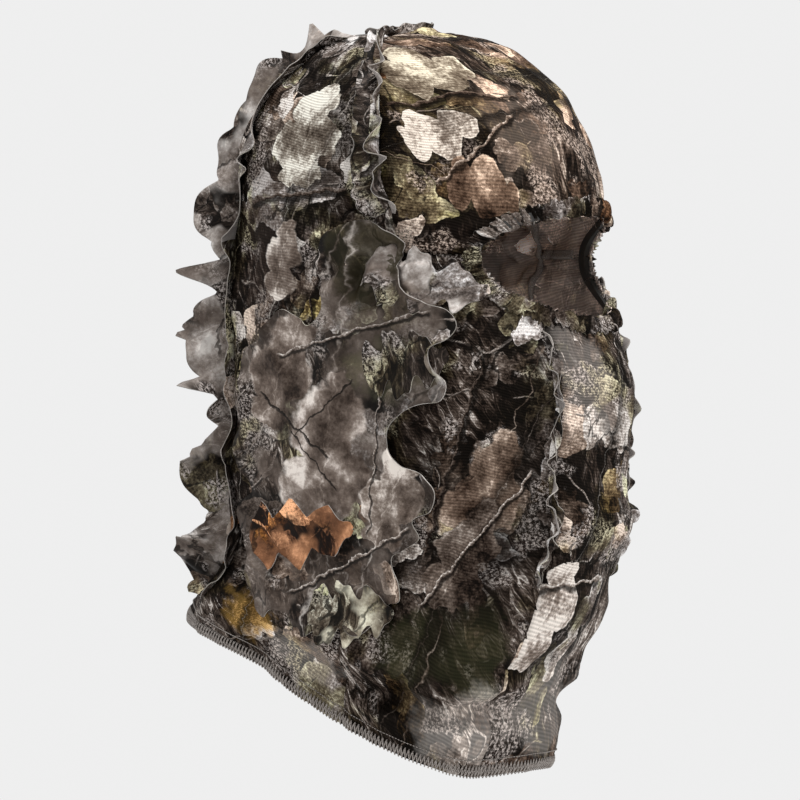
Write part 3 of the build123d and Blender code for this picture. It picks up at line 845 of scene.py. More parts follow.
def shown_on(name, side):
    """The same lists with their places turned into the panel's flat coordinates."""
    spec = SHOWN.get(name.replace("_left", "_right"), {})
    def flat(y, z):
        near = np.linalg.norm(FLAT_PLAIN - put(y=y * MM, z=z * MM, side=side), axis=1).argmin()
        return tuple(float(q) for q in PANEL_UV[name][near])
    leaves = [(*flat(y, z), length, width, angle * -side, *rest) for y, z, length, width, angle,
              *rest in spec.get("leaves", [])]
    sticks = [(*flat(y, z), length, width, angle * -side, tone) for y, z, length, width, angle,
              tone in spec.get("twigs", [])]
    zones = [(*flat(y, z), *rest) for y, z, *rest in spec.get("washes", [])]
    return dict(stamps=leaves, sticks=sticks, zones=zones)


prints = {
    "front_crown_panel": printed("print_front_crown", (30, 12), 0.3, **shown_on("front_crown_panel", -1)),
    "face_panel": printed("print_face", (-160, 60), 0.1, **shown_on("face_panel", -1)),
    "cheek_panel_right": printed("print_cheek_right", (210, -40), -0.2, **shown_on("cheek_panel_right", -1)),
    "cheek_panel_left": printed("print_cheek_left", (-320, 210), 0.2),
    "rear_panel_right": printed("print_rear_right", (470, 130), 0.15, **shown_on("rear_panel_right", -1)),
    "rear_panel_left": printed("print_rear_left", (-610, -90), -0.1),
}
# the print of the hood's inside and hem fold, with painted light: brightened to stand in for light reaching the
# inside
inner_print = printed("print_inside", (77, 300), 0.2, calm=(0.6, 0.5), painted_inside_light=True)
flat_points = points.reshape(-1, 3)
HOOD_SHEETS = []
for index, (name, middle) in enumerate(panel_specs):
    pick = np.nonzero((which == index) & ~inside_eye)[0]
    used = sorted({v for k in pick for v in faces[k]})
    renumber = {v: i for i, v in enumerate(used)}
    new_faces = [[renumber[v] for v in faces[k]] for k in pick]
    obj = mesh_object(name + "_cloth", flat_points[used], new_faces, PANEL_UV[name][used],
                      [prints[name], inner_print])
    thicken(obj, KNIT_THICK, outside=-1.0, back=1, rim=1)
    HOOD_SHEETS.append(place(obj, "hood", name))


# ------------------------------------------------------------------ leaf-cut pieces
edge_cloth = printed("leaf_edge", (5, 5), 0.0, knit=False, tint=(0.62, (0.40, 0.37, 0.34)))


def leaf_cloth(name, shift, turn=0.0, **more):
    """The three materials of a leaf-cut piece: printed face, pale reverse, cut edge."""
    return [printed(name, shift, turn, knit=False, **more),
            printed(name + "_reverse", shift, turn, knit=False, reverse=True), edge_cloth]


def lobes(length, seed, size=(9, 20), height=(5, 13)):
    """The reach of a leaf-cut edge past its base at places s along it (mm): lobes with notches between."""
    r = random.Random(seed)
    items, s = [], 0.0
    while s < length:
        w = r.uniform(*size)
        tall = height[0] + (height[1] - height[0]) * r.random() ** 1.6
        items.append((s + w / 2, w * r.uniform(0.50, 0.75), tall, r.choice((1.1, 1.8, 2.4, 3.4)),
                      r.uniform(-0.6, 0.6)))
        s += w * r.choice((0.8, 1.0, 1.7))
    def reach(at):
        at = np.asarray(at, float)
        out = np.zeros(at.shape)
        for c, half, h, power, skew in items:
            u = np.clip(np.abs((at - c) / half + skew * (1 - ((at - c) / half) ** 2)), 0, 1)
            out = np.maximum(out, h * (1 - u ** power))
        return out
    return reach


def wave(length, seed, period):
    """A smooth uneven wave between about -1 and 1 along a length in mm."""
    r = random.Random(seed)
    n = max(4, int(length / period * 2) + 3)
    knots = [(k * length / (n - 1) + r.uniform(-0.2, 0.2) * period,
              (1 if k % 2 else -1) * r.uniform(0.35, 1.0)) for k in range(n)]
    ks, vs = zip(*knots)
    def value(at):
        at = np.asarray(at, float)
        i = np.clip(np.searchsorted(ks, at) - 1, 0, n - 2)
        k0, k1 = np.array(ks)[i], np.array(ks)[i + 1]
        f = np.clip((at - k0) / (k1 - k0), 0, 1)
        f = (1 - np.cos(math.pi * f)) / 2
        return np.array(vs)[i] * (1 - f) + np.array(vs)[i + 1] * f
    return value


def surface_path(places, step=1.4):
    """Evenly spaced (azimuth, t) pairs along the hood through the given 3-D places, with s in mm."""
    az, t = find(np.array(places))
    az = np.unwrap(az)
    fine = np.linspace(0, len(az) - 1, 60 * len(az))
    def smooth(v):
        i = np.clip(np.floor(fine).astype(int), 0, len(v) - 2)
        f = fine - i
        g = lambda q: v[np.clip(q, 0, len(v) - 1)]
        return catmull(g(i - 1), g(i), g(i + 1), g(i + 2), f)
    faz, ft = smooth(az), smooth(t)
    p = hood(faz, ft)
    s = np.concatenate([[0], np.cumsum(np.linalg.norm(np.diff(p, axis=0), axis=1))]) / MM
    at = np.arange(0, s[-1], step)
    return np.interp(at, s, faz), np.interp(at, s, ft), at


RIBBON_ROWS = 13
RIBBON_ROOT = -0.5          # the sewn edge is sunk this far in the cloth, in mm


def ribbon(name, places, width, lean, materials, seed, flip=1, edge=None, ruffle=0.5, period=26, curl=0.035,
           uv_at=(0, 0), turned=None, sway=3.0, limit=None, wrap=0.0):
    """A leaf-cut strip sewn along one edge and standing off the cloth, which ruffles along its free edge.
    lean is the angle in radians from flat on the cloth (0) through upright (pi/2) at the sewn edge;
    turned tells where, from 0 to 1 along it, its reverse faces out; wrap bends it to the hood's own curve."""
    az, t, s = surface_path(places)
    root, n = cloth(az, t, RIBBON_ROOT * MM)
    tangent = np.gradient(root, axis=0)
    tangent /= np.linalg.norm(tangent, axis=1, keepdims=True)
    across = np.cross(tangent, n) * flip
    across /= np.linalg.norm(across, axis=1, keepdims=True)
    total = s[-1]
    edge = edge or lobes(total, seed)
    ends = np.clip(np.minimum(s, total - s) / 10 + 0.15, 0, 1)
    width_s = width(s / total) if callable(width) else np.full(len(s), float(width))
    reach = (width_s + edge(s)) * ends ** 0.6
    lean_s = lean(s / total) if callable(lean) else np.full(len(s), float(lean))
    w1, w2, w3 = wave(total, seed + 1, period), wave(total, seed + 2,
                                                     period * 0.6), wave(total, seed + 3, period * 1.3)
    angle = lean_s + ruffle * w1(s)
    bend = curl * (w2(s) + 0.25)
    p = root.copy()
    pts, uvs = [], []
    for k in range(RIBBON_ROWS):
        f = k / (RIBBON_ROWS - 1)
        d = reach * f
        pts.append(p.copy())
        uvs.append(np.stack([s + uv_at[0], d + uv_at[1]], -1))
        stepd = reach / (RIBBON_ROWS - 1) * MM
        a = angle + (bend - wrap) * d + 0.25 * w3(s) * f
        if limit is not None:
            a = np.clip(a, limit[0], limit[1])
        shift = sway * w3(s) * f / (RIBBON_ROWS - 1) * MM
        p = p + (np.cos(a) * stepd)[:, None] * across + (np.sin(a) * stepd)[:,
                                                                            None] * n + shift[:,
                                                                                              None] * tangent
    points = np.concatenate(pts)
    over = np.tile((s / total)[:-1], RIBBON_ROWS - 1)
    which_side = 3 * (turned(over) if turned is not None else np.zeros(len(over))).astype(int)
    six = list(materials) + [materials[1], materials[0], materials[2]]
    obj = mesh_object(name, points, grid_faces(RIBBON_ROWS, len(s), flip=flip > 0), np.concatenate(uvs),
                      six, face_material=which_side)
    thicken(obj, LEAF_THICK, back=1, rim=2)
    return place(obj, "hood")


LEAF_TAPER, LEAF_CUP = 0.25, 0.02


def leaf_piece(name, root, direction, length, width, materials, seed, body, side, lift, rise, lobe_count,
               wavy=1.2, cut=0.30, points=False):
    """One loose lobed leaf: root is (y, z) in the side view in mm, direction its angle there, 0 forward."""
    r = random.Random(seed)
    nx, ny = 40, 22
    u = np.linspace(0, 1, nx)
    x = 2 * u - 1
    half = np.sqrt(np.clip(1 - np.abs(x) ** 2.6, 0, 1)) * width / 2 * (1 - LEAF_TAPER * x)
    rows = []
    for sign in (-1, 1):
        phase = r.uniform(0, 6)
        bumps = 0.7 * np.sin(x * lobe_count * math.pi
                             + phase) + 0.45 * np.sin(x * lobe_count * 1.9 * math.pi + 2.3 * phase)
        bumps = np.sign(bumps) * np.abs(bumps) ** 0.7
        if points:      # teeth that lean to the tip, as on an oak or maple leaf
            saw = (x * lobe_count + phase) % 2 - 1
            bumps = np.where(saw < 0.5, (saw + 1) / 1.5, (1 - saw) / 0.5) * 2 - 1
        rows.append(half * np.clip(1 - cut + cut * bumps, 0.25, 1.15) + 0.6 + 2.5
                    * np.clip(1 - u / 0.08, 0, 1))
    a = math.radians(direction)
    base_points, uv = [], []
    for i in range(nx):
        for j in range(ny):
            f = 2 * j / (ny - 1) - 1
            v = f * (rows[1][i] if f > 0 else rows[0][i])
            y = root[0] - (u[i] * length * math.cos(a) - v * math.sin(a))
            z = root[1] + (u[i] * length * math.sin(a) + v * math.cos(a))
            base_points.append(put(y=y * MM, z=z * MM, side=side))
            uv.append((u[i] * length, v, f, u[i]))
    base_points = np.array(base_points)
    az, t = find(base_points)
    p, n = cloth(az, t)
    uv = np.array(uv)
    waves = wave(length, seed + 5, 15)(uv[:, 3] * length) * wavy
    off = lift + rise * uv[:, 3] * length + LEAF_CUP * uv[:, 1] ** 2 * 0.5 + waves * np.abs(uv[:, 2]) ** 1.5
    p = p + n * (np.maximum(off, lift * 0.8) * MM)[:, None]
    faces = [(i * ny + j, i * ny + j + 1, (i + 1) * ny + j + 1,
              (i + 1) * ny + j) for i in range(nx - 1) for j in range(ny - 1)]
    obj = mesh_object(name, p, faces if side > 0 else [f[::-1] for f in faces], uv[:, :2], materials)
    thicken(obj, LEAF_THICK, back=1, rim=2)
    return place(obj, body)


OVERLAY_LIFT, OVERLAY_EDGE, OVERLAY_FRONT = 1.3, 2.6, 4.0     # off the cloth, more at its edge, more in front
OVERLAY_PITCH = 2.4


def overlay(name, outline, side, materials, seed):
    """A leaf-edged sheet sewn over the cheek, outlined in the side view in mm. Its edges stand off and wave."""
    ctrl = np.array(outline, float)
    n = len(ctrl)
    ring_points = []
    for k in range(n):
        p0, p1, p2, p3 = (ctrl[(k + d) % n] for d in (-1, 0, 1, 2))
        count = max(3, int(np.linalg.norm(p2 - p1) / 1.6))
        for c in range(count):
            ring_points.append(catmull(p0, p1, p2, p3, c / count))
    ring_points = np.array(ring_points)
    closed = np.vstack([ring_points, ring_points[:1]])
    lo, hi = ring_points.min(0), ring_points.max(0)
    gy, gz = np.meshgrid(np.arange(lo[0], hi[0], OVERLAY_PITCH), np.arange(lo[1], hi[1], OVERLAY_PITCH))
    inner = np.stack([gy.ravel(), gz.ravel()], -1) + rng.uniform(-0.25, 0.25, (gy.size, 2)) * OVERLAY_PITCH
    a, b = ring_points, np.roll(ring_points, -1, axis=0)
    inside = np.zeros(len(inner), bool)
    for p, q in zip(a, b):
        hit = ((p[1] > inner[:, 1]) != (q[1] > inner[:, 1]))
        with np.errstate(divide="ignore", invalid="ignore"):
            x = (q[0] - p[0]) * (inner[:, 1] - p[1]) / (q[1] - p[1]) + p[0]
        inside ^= hit & (inner[:, 0] < x)
    dist, _ = along(inner, closed)
    inner = inner[inside & (dist > OVERLAY_PITCH * 0.7)]
    flat = np.vstack([ring_points, inner])
    m = len(ring_points)
    loop = [(k, (k + 1) % m) for k in range(m)]
    v2, _, tri, *_ = delaunay_2d_cdt([Vector(q) for q in flat], loop, [list(range(m))], 1, 1e-4)
    v2 = np.array([tuple(v) for v in v2])
    base_points = np.array([put(y=q[0] * MM, z=q[1] * MM, side=side) for q in v2])
    az, t = find(base_points)
    p, nrm = cloth(az, t)
    d, _ = along(v2, closed)
    free = np.exp(-d / 5.0)
    forward = np.clip((-v2[:, 0] - 14) / 20, 0, 1)
    ripple = fuzz(base_points, 55, seed) + 0.6 * fuzz(base_points, 110, seed + 3)
    off = OVERLAY_LIFT + 0.7 * np.clip(fuzz(base_points, 30, seed + 7), -0.5,
                                       1) + free * (OVERLAY_EDGE + OVERLAY_FRONT * forward + 4.5 * ripple)
    p = p + nrm * (np.maximum(off, 0.9) * MM)[:, None]
    uv = np.stack([-v2[:, 0], v2[:, 1]], -1)
    faces = [tuple(f) if side < 0 else tuple(f)[::-1] for f in tri]
    obj = mesh_object(name, p, faces, uv, materials)
    mesh = obj.data
    centre_normal = np.array([f.normal for f in mesh.polygons]).mean(0)
    if centre_normal[0] * side < 0:
        mesh.flip_normals()
    thicken(obj, LEAF_THICK, outside=1.0, back=1, rim=2)
    return place(obj, "hood")


CHEEK = [(-10, -100), (-24, -104), (-35, -112), (-31, -122), (-34, -134), (-44, -142), (-55, -146),
         (-60, -154), (-56, -161), (-47, -166),
         (-49, -176), (-56, -183), (-53, -192), (-42, -194), (-33, -198), (-26, -206), (-24, -216),
         (-31, -224), (-44, -230), (-50, -238),
         (-48, -248), (-38, -253), (-41, -262), (-33, -268), (-25, -274), (-30, -284), (-29, -295),
         (-20, -298), (-14, -306), (-4, -314),
         (6, -308), (14, -304), (22, -313), (33, -316), (38, -306), (48, -303), (58, -308), (68, -300),
         (72, -288), (64, -279),
         (68, -268), (76, -258), (72, -247), (63, -240), (70, -230), (76, -216), (70, -206), (62, -198),
         (70, -186), (74, -174),
         (66, -166), (56, -162), (48, -152), (38, -146), (28, -150), (20, -154), (12, -146), (10, -134),
         (16, -124), (12, -110), (2, -104)]

general = leaf_cloth("leaf_brown", (120, -300), 0.4)
general2 = leaf_cloth("leaf_brown_two", (-420, 380), 1.4)
general3 = leaf_cloth("leaf_brown_three", (812, 90), 0.8, calm=(0.7, 0.72))
pale = leaf_cloth("leaf_pale", (333, 333), 0.9, calm=(1.0, 0.66))
RUSTY = (1.45, 0.80, 0.45)
rusty = leaf_cloth("leaf_rust", (-88, 512), 0.2, calm=(0.9, 0.60), hue=RUSTY)
mossy = leaf_cloth("leaf_moss", (640, -222), 0.6, calm=(0.85, 0.84), hue=(0.98, 1.0, 0.84))

print_shift = {"right": (-30, 240), "left": (510, -410)}
CHEEK_STAMPS = [(-40, -176, 70, 34, 60, 0.50, (1.0, 0.97, 0.95), 0.4),
                (-14, -222, 90, 44, 80, 0.62, (1.0, 0.98, 0.97), 0.3),
                (26, -240, 60, 30, 65, 0.66, (1.0, 0.98, 0.96), 0.5)]
CHEEK_STICKS = [(2, -158, 96, 1.3, 14, 0.66), (14, -226, 74, 0.7, 82, 0.60), (-2, -276, 84, 1.1, 26, 0.66),
                (-34, -206, 60, 0.7, -34, 0.1),
                (-22, -224, 44, 0.5, -48, 0.1), (-14, -196, 50, 0.5, 40, 0.1)]
CHEEK_WASHES = [(12, -118, 26, 26, (0.05, 0.045, 0.022), 0.75),
                (30, -176, 26, 16, (0.34, 0.33, 0.22), 0.35), (40, -205, 16, 26, BLACK, 0.55),
                (-46, -150, 26, 16, DARK, 0.5)]
for side, sign in SIDES.items():
    cheek_cloth = leaf_cloth(f"cheek_overlay_print_{side}", print_shift[side], 0.25, stamps=CHEEK_STAMPS,
                             sticks=CHEEK_STICKS, zones=CHEEK_WASHES, calm=(0.75, 0.50))
    piece = overlay(f"cheek_overlay_{side}_cloth", CHEEK, sign, cheek_cloth, 11 + sign)
    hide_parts(f"cheek_overlay_{side}")


def edge_at(places, items):
    """A cut edge whose lobes are given by height on the hood, in mm: (z, half width, reach, power, skew)."""
    az, t, s = surface_path(places)
    z = hood(az, t)[:, 2] / MM
    order = np.argsort(z)
    made = [(float(np.interp(zz, z[order], s[order])), half, h, power, skew) for zz, half, h, power,
            skew in items]
    def reach(at):
        out = np.zeros(np.shape(at))
        for c, half, h, power, skew in made:
            q = (at - c) / half
            u = np.clip(np.abs(q + skew * (1 - q ** 2)), 0, 1)
            out = np.maximum(out, h * (1 - u ** power))
        return out
    return reach


def rear_places(sign, x=38):
    top = [np.array((sign * 0.030, 0.030, 0.0)), np.array((sign * 0.035, 0.052, -0.010))]
    return top + [put(x=sign * x * MM, z=z * MM, side=1) for z in (-34, -60, -95, -130, -170, -210, -250,
                                                                   -280, -302)]


REAR_LOBES = [(-12, 5, 11, 1.1, 0.4), (-40, 16, 3, 2.4, 0), (-70, 17, 7, 3.0, 0.2),
              (-94, 17, 19, 2.6, -0.25), (-112, 7, 6, 2, 0.2),
              (-131, 12, 25, 1.5, 0.55), (-150, 10, 15, 2.6, -0.2), (-171, 15, 19, 3.4, 0.15),
              (-184, 6, 27, 1.2, -0.3), (-203, 12, 10, 2.6, 0.3),
              (-216, 13, 11, 1.3, -0.5), (-238, 17, 21, 3.0, 0.35), (-258, 8, 8, 1.5, 0),
              (-282, 22, 24, 3.2, 0.1), (-300, 8, 20, 1.2, -0.4)]


def outer_lean(f):
    """Leaning back over the crown, upright from there down."""
    return 1.45 - 0.75 * np.exp(-((f - 0.12) / 0.13) ** 2)


def inner_width(f):
    return 5.0 + 13.0 * np.exp(-((f - 0.30) / 0.15) ** 2)


def inner_lean(f):
    return 0.75 - 0.55 * np.exp(-((f - 0.30) / 0.18) ** 2)


for side, sign in SIDES.items():
    places = rear_places(sign)
    shape = edge_at(places, REAR_LOBES) if sign < 0 else None
    out = ribbon(f"rear_ribbon_{side}_outer", places, 6.5, outer_lean, general3, 21 + sign, flip=-sign,
                 edge=shape, ruffle=0.55, period=52, curl=0.030,
                 sway=9, uv_at=(40 * sign, 0), limit=(0.4, 2.7))
    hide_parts(f"rear_ribbon_{side}")
    ribbon(f"rear_ribbon_{side}_inner", rear_places(sign, 45), inner_width, inner_lean, general2, 31 + sign,
           flip=sign,
           edge=lobes(340, 33 + sign, (14, 30), (1, 12)), ruffle=0.22, period=44, curl=0.012, sway=5,
           uv_at=(-90, 120), limit=(-0.7, 2.0),
           turned=lambda f: (f < 0.18) | (f > 0.40), wrap=0.011)


def crown_places():
    rights = [put(y=y * MM, z=z * MM, side=-1) for y, z in ((-27, -97), (-18, -75), (-16, -55), (-12, -36))]
    over = [np.array((-0.040, 0.000, -0.012)), np.array((-0.018, 0.008, 0.0)),
            np.array((0.018, 0.008, 0.0)), np.array((0.040, 0.000, -0.012))]
    return rights + over + [p * (-1, 1, 1) for p in rights[::-1]]


def crown_width(f):
    """Wider down the temples than over the top."""
    return 3.0 + 11.0 * np.abs(2 * f - 1) ** 1.6


crown = ribbon("crown_ribbon_cloth", crown_places(), crown_width, 1.25, general2, 51, flip=1,
               edge=lobes(330, 52, (12, 26), (0.5, 5.0)), ruffle=0.60,
               period=24, curl=0.05, sway=4, limit=(0.3, 2.6), turned=lambda f: f < 2)
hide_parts("crown_ribbon")
ribbon("crown_ribbon_back", [p + np.array((0, 0.004, 0)) for p in crown_places()], crown_width, 0.55,
       general, 61, flip=-1,
       edge=lobes(330, 62, (12, 28), (0.5, 5.5)), ruffle=0.5, period=26, curl=0.05, sway=4, limit=(0.1, 2.2))


def face_places(sign, x=40):
    return [put(x=sign * x * MM, z=z * MM, side=-1) for z in (-156, -168, -184, -202, -222, -242, -262,
                                                              -280, -288)]


for side, sign in SIDES.items():
    front = ribbon(f"face_ribbon_{side}_front", face_places(sign), 3.0, 1.15, general, 71 + sign,
                   flip=-sign, edge=lobes(160, 72 + sign, (8, 20), (0.5, 6)),
                   ruffle=0.6, period=20, curl=0.05, sway=3, limit=(0.2, 2.3))
    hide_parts(f"face_ribbon_{side}")
    ribbon(f"face_ribbon_{side}_back", face_places(sign, 42), 3.0, 0.6, general2, 81 + sign, flip=sign,
           edge=lobes(160, 82 + sign, (9, 22), (0.5, 6)),
           ruffle=0.5, period=22, curl=0.05, sway=3, limit=(0.1, 2.0))

# ------------------------------------------------------------------ loose leaves, each on its own body
LEAVES = {
    "temple_leaf": dict(root=(-12, -125), direction=-12, length=62, width=34, materials=pale, seed=101,
                        lift=3.2, rise=0.05, lobe_count=3.4),
    "cheek_leaf": dict(root=(-11, -176), direction=8, length=46, width=36, materials=general, seed=113,
                       lift=3.2, rise=0.06, lobe_count=3.0),
    "orange_jaw_leaf": dict(root=(64, -266), direction=6, length=66, width=38, materials=rusty, seed=127,
                            lift=3.2, rise=0.02, lobe_count=3.1,
                            cut=0.30, points=True, wavy=1.4),
    "green_jaw_leaf": dict(root=(26, -304), direction=3, length=50, width=34, materials=mossy, seed=139,
                           lift=3.2, rise=0.03, lobe_count=3.2),
}
for name, spec in LEAVES.items():
    for side, sign in SIDES.items():
        leaf = leaf_piece(f"{name}_{side}_cloth", body=f"{name}_{side}", side=sign,
                          **{**spec, "seed": spec["seed"] + sign})
        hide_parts(f"{name}_{side}")


# ------------------------------------------------------------------ gathered eye casing over its elastic
casing_print = printed("print_casing", (-250, -160), 0.7)
N_RIM, N_TUBE = 640, 16
angle = np.linspace(0, 2 * math.pi, N_RIM, endpoint=False)
power = 2 / SQUARE


def eye_ring(grow):
    """Points of the eye oval on the cloth, grow metres out from its edge, with azimuth and t."""
    up = np.where(np.sin(angle) > 0, EYE_UP, EYE_DOWN) + grow
    x = (EYE_X + 0.6 * grow) * np.sign(np.cos(angle)) * np.abs(np.cos(angle)) ** power
    z = EYE_Z + up * np.sign(np.sin(angle)) * np.abs(np.sin(angle)) ** power
    guess = np.stack([x, np.full_like(x, -0.09), z], -1)
    for _ in range(12):
        az, t = find(guess)
        guess[:, 1] = hood(az, t)[:, 1]
    return find(guess)


rim_az, rim_t = eye_ring(0.0045)
middle, rim_n = cloth(rim_az, rim_t)
ahead_az, ahead_t = eye_ring(0.0085)
outward = cloth(ahead_az, ahead_t)[0] - middle
outward -= (outward * rim_n).sum(1, keepdims=True) * rim_n
outward /= np.linalg.norm(outward, axis=1, keepdims=True)
run = np.concatenate([[0], np.cumsum(np.linalg.norm(np.diff(middle, axis=0), axis=1))]) / MM
pucker_wave = wave(run[-1], 201, 4.6)
pucker_fine = wave(run[-1], 202, 2.6)
pucker_slow = wave(run[-1], 203, 17)
p1, p2, p3 = pucker_wave(run), pucker_fine(run), pucker_slow(run)
tube, tube_uv = [], []
for k in range(N_TUBE + 1):
    a = 2 * math.pi * k / N_TUBE
    out_side = max(0.0, math.cos(a))
    width = 0.0046 + 0.0011 * p1 * out_side + 0.0009 * p3 + 0.0006 * p2 * out_side
    thick = 0.0021 + 0.0010 * p1 * (0.4 + 0.6 * abs(math.cos(a))) + 0.0007 * p2 + 0.0005 * p3
    lean = 0.0009 * p2 * math.sin(2 * a)
    q = middle + outward * (width * math.cos(a) + lean)[:,
                                                        None] + rim_n * (thick * math.sin(a)
                                                                         + 0.0009)[:, None]
    tube.append(q)
    tube_uv.append(np.stack([run * 1.35, np.full(N_RIM, 26.0 * k / N_TUBE)], -1))
tube = np.array(tube)
tube_uv = np.array(tube_uv)
tube = np.concatenate([tube, tube[:, :1]], axis=1)
closing = tube_uv[:, :1].copy()
closing[..., 0] = run[-1] * 1.35 + 1.0
tube_uv = np.concatenate([tube_uv, closing], axis=1)
casing = mesh_object("eye_casing_cloth", tube.reshape(-1, 3), grid_faces(N_TUBE + 1, N_RIM + 1),
                     tube_uv.reshape(-1, 2), [casing_print])
place(casing, "hood", "eye_casing")

# ------------------------------------------------------------------ seams inside, hem and its stitching
thread = bpy.data.materials.new("sewing_thread")
thread.use_nodes = True
g = Nodes(thread.node_tree)
spot = g.noise(g.add("ShaderNodeUVMap", uv_map="UVMap").outputs[0], 1.3, 3.0)
thread_color = g.ramp(spot, [(0.3, (0.12, 0.10, 0.088)), (0.55, (0.25, 0.22, 0.20)),
                             (0.75, (0.40, 0.37, 0.34))])
bsdf = thread.node_tree.nodes["Principled BSDF"]
thread.node_tree.links.new(thread_color, bsdf.inputs["Base Color"])
bsdf.inputs["Roughness"].default_value = 0.6


def threads(name, starts, ends, bulges, thickness, node):
    """Short rounded stitches as one mesh: each runs from start to end over a bulge direction."""
    verts, faces, uv = [], [], []
    sides, rings = 5, 5
    for a, b, up in zip(starts, ends, bulges):
        base = len(verts)
        axis = (b - a) / max(np.linalg.norm(b - a), 1e-9)
        side_v = np.cross(axis, up)
        side_v /= max(np.linalg.norm(side_v), 1e-9)
        for i in range(rings):
            f = i / (rings - 1)
            c = a + (b - a) * f + up * (thickness * 1.5 * math.sin(math.pi * f) - thickness * 0.3)
            r = thickness * (0.55 + 0.45 * math.sin(math.pi * f))
            for k in range(sides):
                w = 2 * math.pi * k / sides
                verts.append(c + r * (math.cos(w) * side_v + math.sin(w) * up))
                uv.append((len(verts) * 0.37 % 40, f * 3))
        for i in range(rings - 1):
            for k in range(sides):
                p, q = base + i * sides + k, base + i * sides + (k + 1) % sides
                faces.append((p, q, q + sides, p + sides))
        faces.append(tuple(base + k for k in range(sides))[::-1])
        faces.append(tuple(base + (rings - 1) * sides + k for k in range(sides)))
    obj = mesh_object(name, verts, faces, uv, [thread])
    return place(obj, "hood", node)


def above_hem(az, rise, off):
    """Points of the cloth and their normals, a rise in metres above the hem."""
    return cloth(az, hem_at(az) - fraction(rise), off)


def level_line(rise, count):
    """Points round the hood a given height in metres above the hem, evenly spaced."""
    az = np.linspace(0, 2 * math.pi, 721)
    t = hem_at(az) - fraction(rise)
    p = hood(az, t)
    s = np.concatenate([[0], np.cumsum(np.linalg.norm(np.diff(p, axis=0), axis=1))])
    at = np.linspace(0, s[-1], count, endpoint=False)
    return np.interp(at, s, az), at


N_OVER = 270
OVER_RISE = 0.0058         # how far the overlocking reaches above the hem
low_az, _ = level_line(0.0, N_OVER)
low_t = hem_at(low_az)
edge_points, edge_n = cloth(low_az, low_t, 0.0003)
shift = (low_az[1] - low_az[0]) * 1.1
upper_az = low_az + shift
upper, _ = above_hem(upper_az, OVER_RISE, 0.0004)
inner_low, _ = cloth(low_az, low_t, -0.0012)
inner_up, _ = above_hem(upper_az, OVER_RISE, -0.0013)
second_az = low_az + shift * 0.15
second, _ = above_hem(second_az, 0.0056, 0.0004)
down_v = np.array((0, 0, -1.0))
starts = list(edge_points + down_v * 0.0003) + list(edge_points + down_v
                                                    * 0.0003) + list(inner_low) + list(edge_points + down_v
                                                                                       * 0.0002)
ends = list(upper) + list(second) + list(inner_up) + list(inner_low + down_v * 0.0002)
bulge = list(edge_n) + list(edge_n) + list(-edge_n) + [down_v] * N_OVER
threads("hem_overlock_stitches", starts, ends, bulge, 0.00042, "hem_overlock_thread")
# the running stitch that holds the turned-up hem
N_RUN = 340
RUN_RISE = 0.0085          # above the hem
run_az, _ = level_line(RUN_RISE, N_RUN)
run_next = run_az + (run_az[1] - run_az[0]) * 0.72
a_pts, a_n = above_hem(run_az, RUN_RISE, 0.0002)
b_pts, _ = above_hem(run_next, RUN_RISE, 0.0002)
threads("hem_running_stitch", list(a_pts), list(b_pts), list(a_n), 0.00030, None)


def inner_strip(name, az, t, across_az, across_t, node, material, off=-0.0016):
    """A strip of sewn edge on the inside. az and t run along it, across_az and across_t are half its width."""
    rows = []
    for f in np.linspace(-1, 1, 5):
        p, n = cloth(az + across_az * f, t + across_t * f, off - 0.0007 * (1 - f * f))
        rows.append(p)
    s = np.concatenate([[0], np.cumsum(np.linalg.norm(np.diff(rows[2], axis=0), axis=1))]) / MM
    uv = np.concatenate([np.stack([s, np.full(len(s), 2.5 * (k - 2))], -1) for k in range(5)])
    obj = mesh_object(name, np.concatenate(rows), grid_faces(5, len(s)), uv, [material])
    thicken(obj, KNIT_THICK)
    return place(obj, "hood", node)


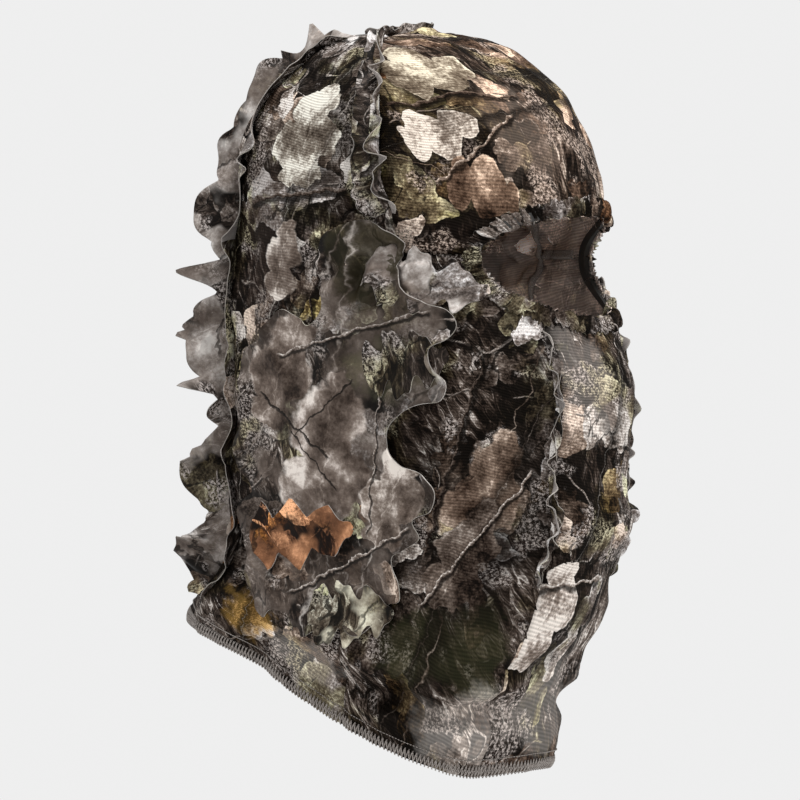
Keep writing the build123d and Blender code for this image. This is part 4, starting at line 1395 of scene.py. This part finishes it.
# centre back
s_t = np.concatenate([np.linspace(0.16, 1, 60),
                      np.linspace(1.003, float(hem_at(math.pi / 2)) - fraction(0.008), 120)])
inner_strip("centre_back_seam_strip", np.full(len(s_t), math.pi / 2), s_t, 0.024, 0, "centre_back_seam",
            thread)
hem_a = np.linspace(0, 2 * math.pi, 361)
inner_strip("hem_fold_strip", hem_a, hem_at(hem_a) - fraction(0.0045), 0, fraction(0.004), "hem_fold",
            inner_print, off=-0.0011)
for side, sign in SIDES.items():
    zs = np.arange(-157, -350, -2.0)
    places = np.array([put(x=sign * 0.038, z=z * MM, side=-1) for z in zs])
    f_az, f_t = find(places)
    inner_strip(f"face_seam_{side}_strip", f_az, f_t, 0.022, 0, f"face_seam_{side}", thread)
    ys = np.arange(-57, -31, 1.5)
    places = np.array([put(y=y * MM, z=TEMPLE_Z, side=sign) for y in ys])
    f_az, f_t = find(places)
    inner_strip(f"temple_seam_{side}_strip", f_az, f_t, 0, fraction(0.0024), f"temple_seam_{side}", thread)
half_zs = np.concatenate([[-372, -350], np.arange(-340, -24, 3.0)])
half_places = [put(y=float(np.interp(-z * MM, -CORONAL[:, 1], CORONAL[:, 0])), z=z * MM,
                   side=-1) for z in half_zs]
half_places += [np.array((-0.040, 0.002, -0.012)), np.array((-0.030, 0.005, -0.005)),
                np.array((-0.015, 0.008, 0.0))]
all_places = half_places + [p * (-1, 1, 1) for p in half_places[::-1]]
c_az, c_t, _ = surface_path(all_places, step=3.0)
inner_strip("coronal_seam_strip", c_az, c_t, 0.022, 0, "coronal_seam", thread)
rubber = plain("elastic_rubber", (0.02, 0.018, 0.016), 0.6)
NODES["eye_elastic"].data.materials.clear()
NODES["eye_elastic"].data.materials.append(rubber)


# ------------------------------------------------------------------ each piece of cloth's width and length, cut flat, worked out and not kept
def cut_flat(obj):
    """Works out a sheet's flat width and length: its UVs hold its pattern in mm, its area is that of the cloth
    as shown, not of the pattern, and the width is raised where that or a 10 mm least width needs it. Its area
    is that of the cloth as shown, not of the pattern, and the width is raised where that or the 10 mm limit
    needs it. Nothing is kept or returned."""
    mesh = obj.data
    area = sum(q.area for q in mesh.polygons)
    uv = np.empty(len(mesh.loops) * 2, np.float32)
    mesh.uv_layers[0].data.foreach_get("uv", uv)
    span = np.ptp(uv.reshape(-1, 2), axis=0) * MM
    wide, long = sorted(float(q) for q in span)
    wide = max(wide, area / long * 1.001, 0.0101)
    long = min(long, area / wide / 0.31)


for sheet in HOOD_SHEETS:
    cut_flat(sheet)
for side in SIDES:
    for part_name in ("outer", "inner"):
        cut_flat(bpy.data.objects[f"rear_ribbon_{side}_{part_name}"])
    for part_name in ("front", "back"):
        cut_flat(bpy.data.objects[f"face_ribbon_{side}_{part_name}"])
    over = f"cheek_overlay_{side}_cloth"
    cut_flat(bpy.data.objects[over])
    for leaf_name in LEAVES:
        cut_flat(bpy.data.objects[f"{leaf_name}_{side}_cloth"])
for crown_name in ("crown_ribbon_cloth", "crown_ribbon_back"):
    cut_flat(bpy.data.objects[crown_name])
cut_flat(casing)
cut_flat(bpy.data.objects["hem_fold_strip"])
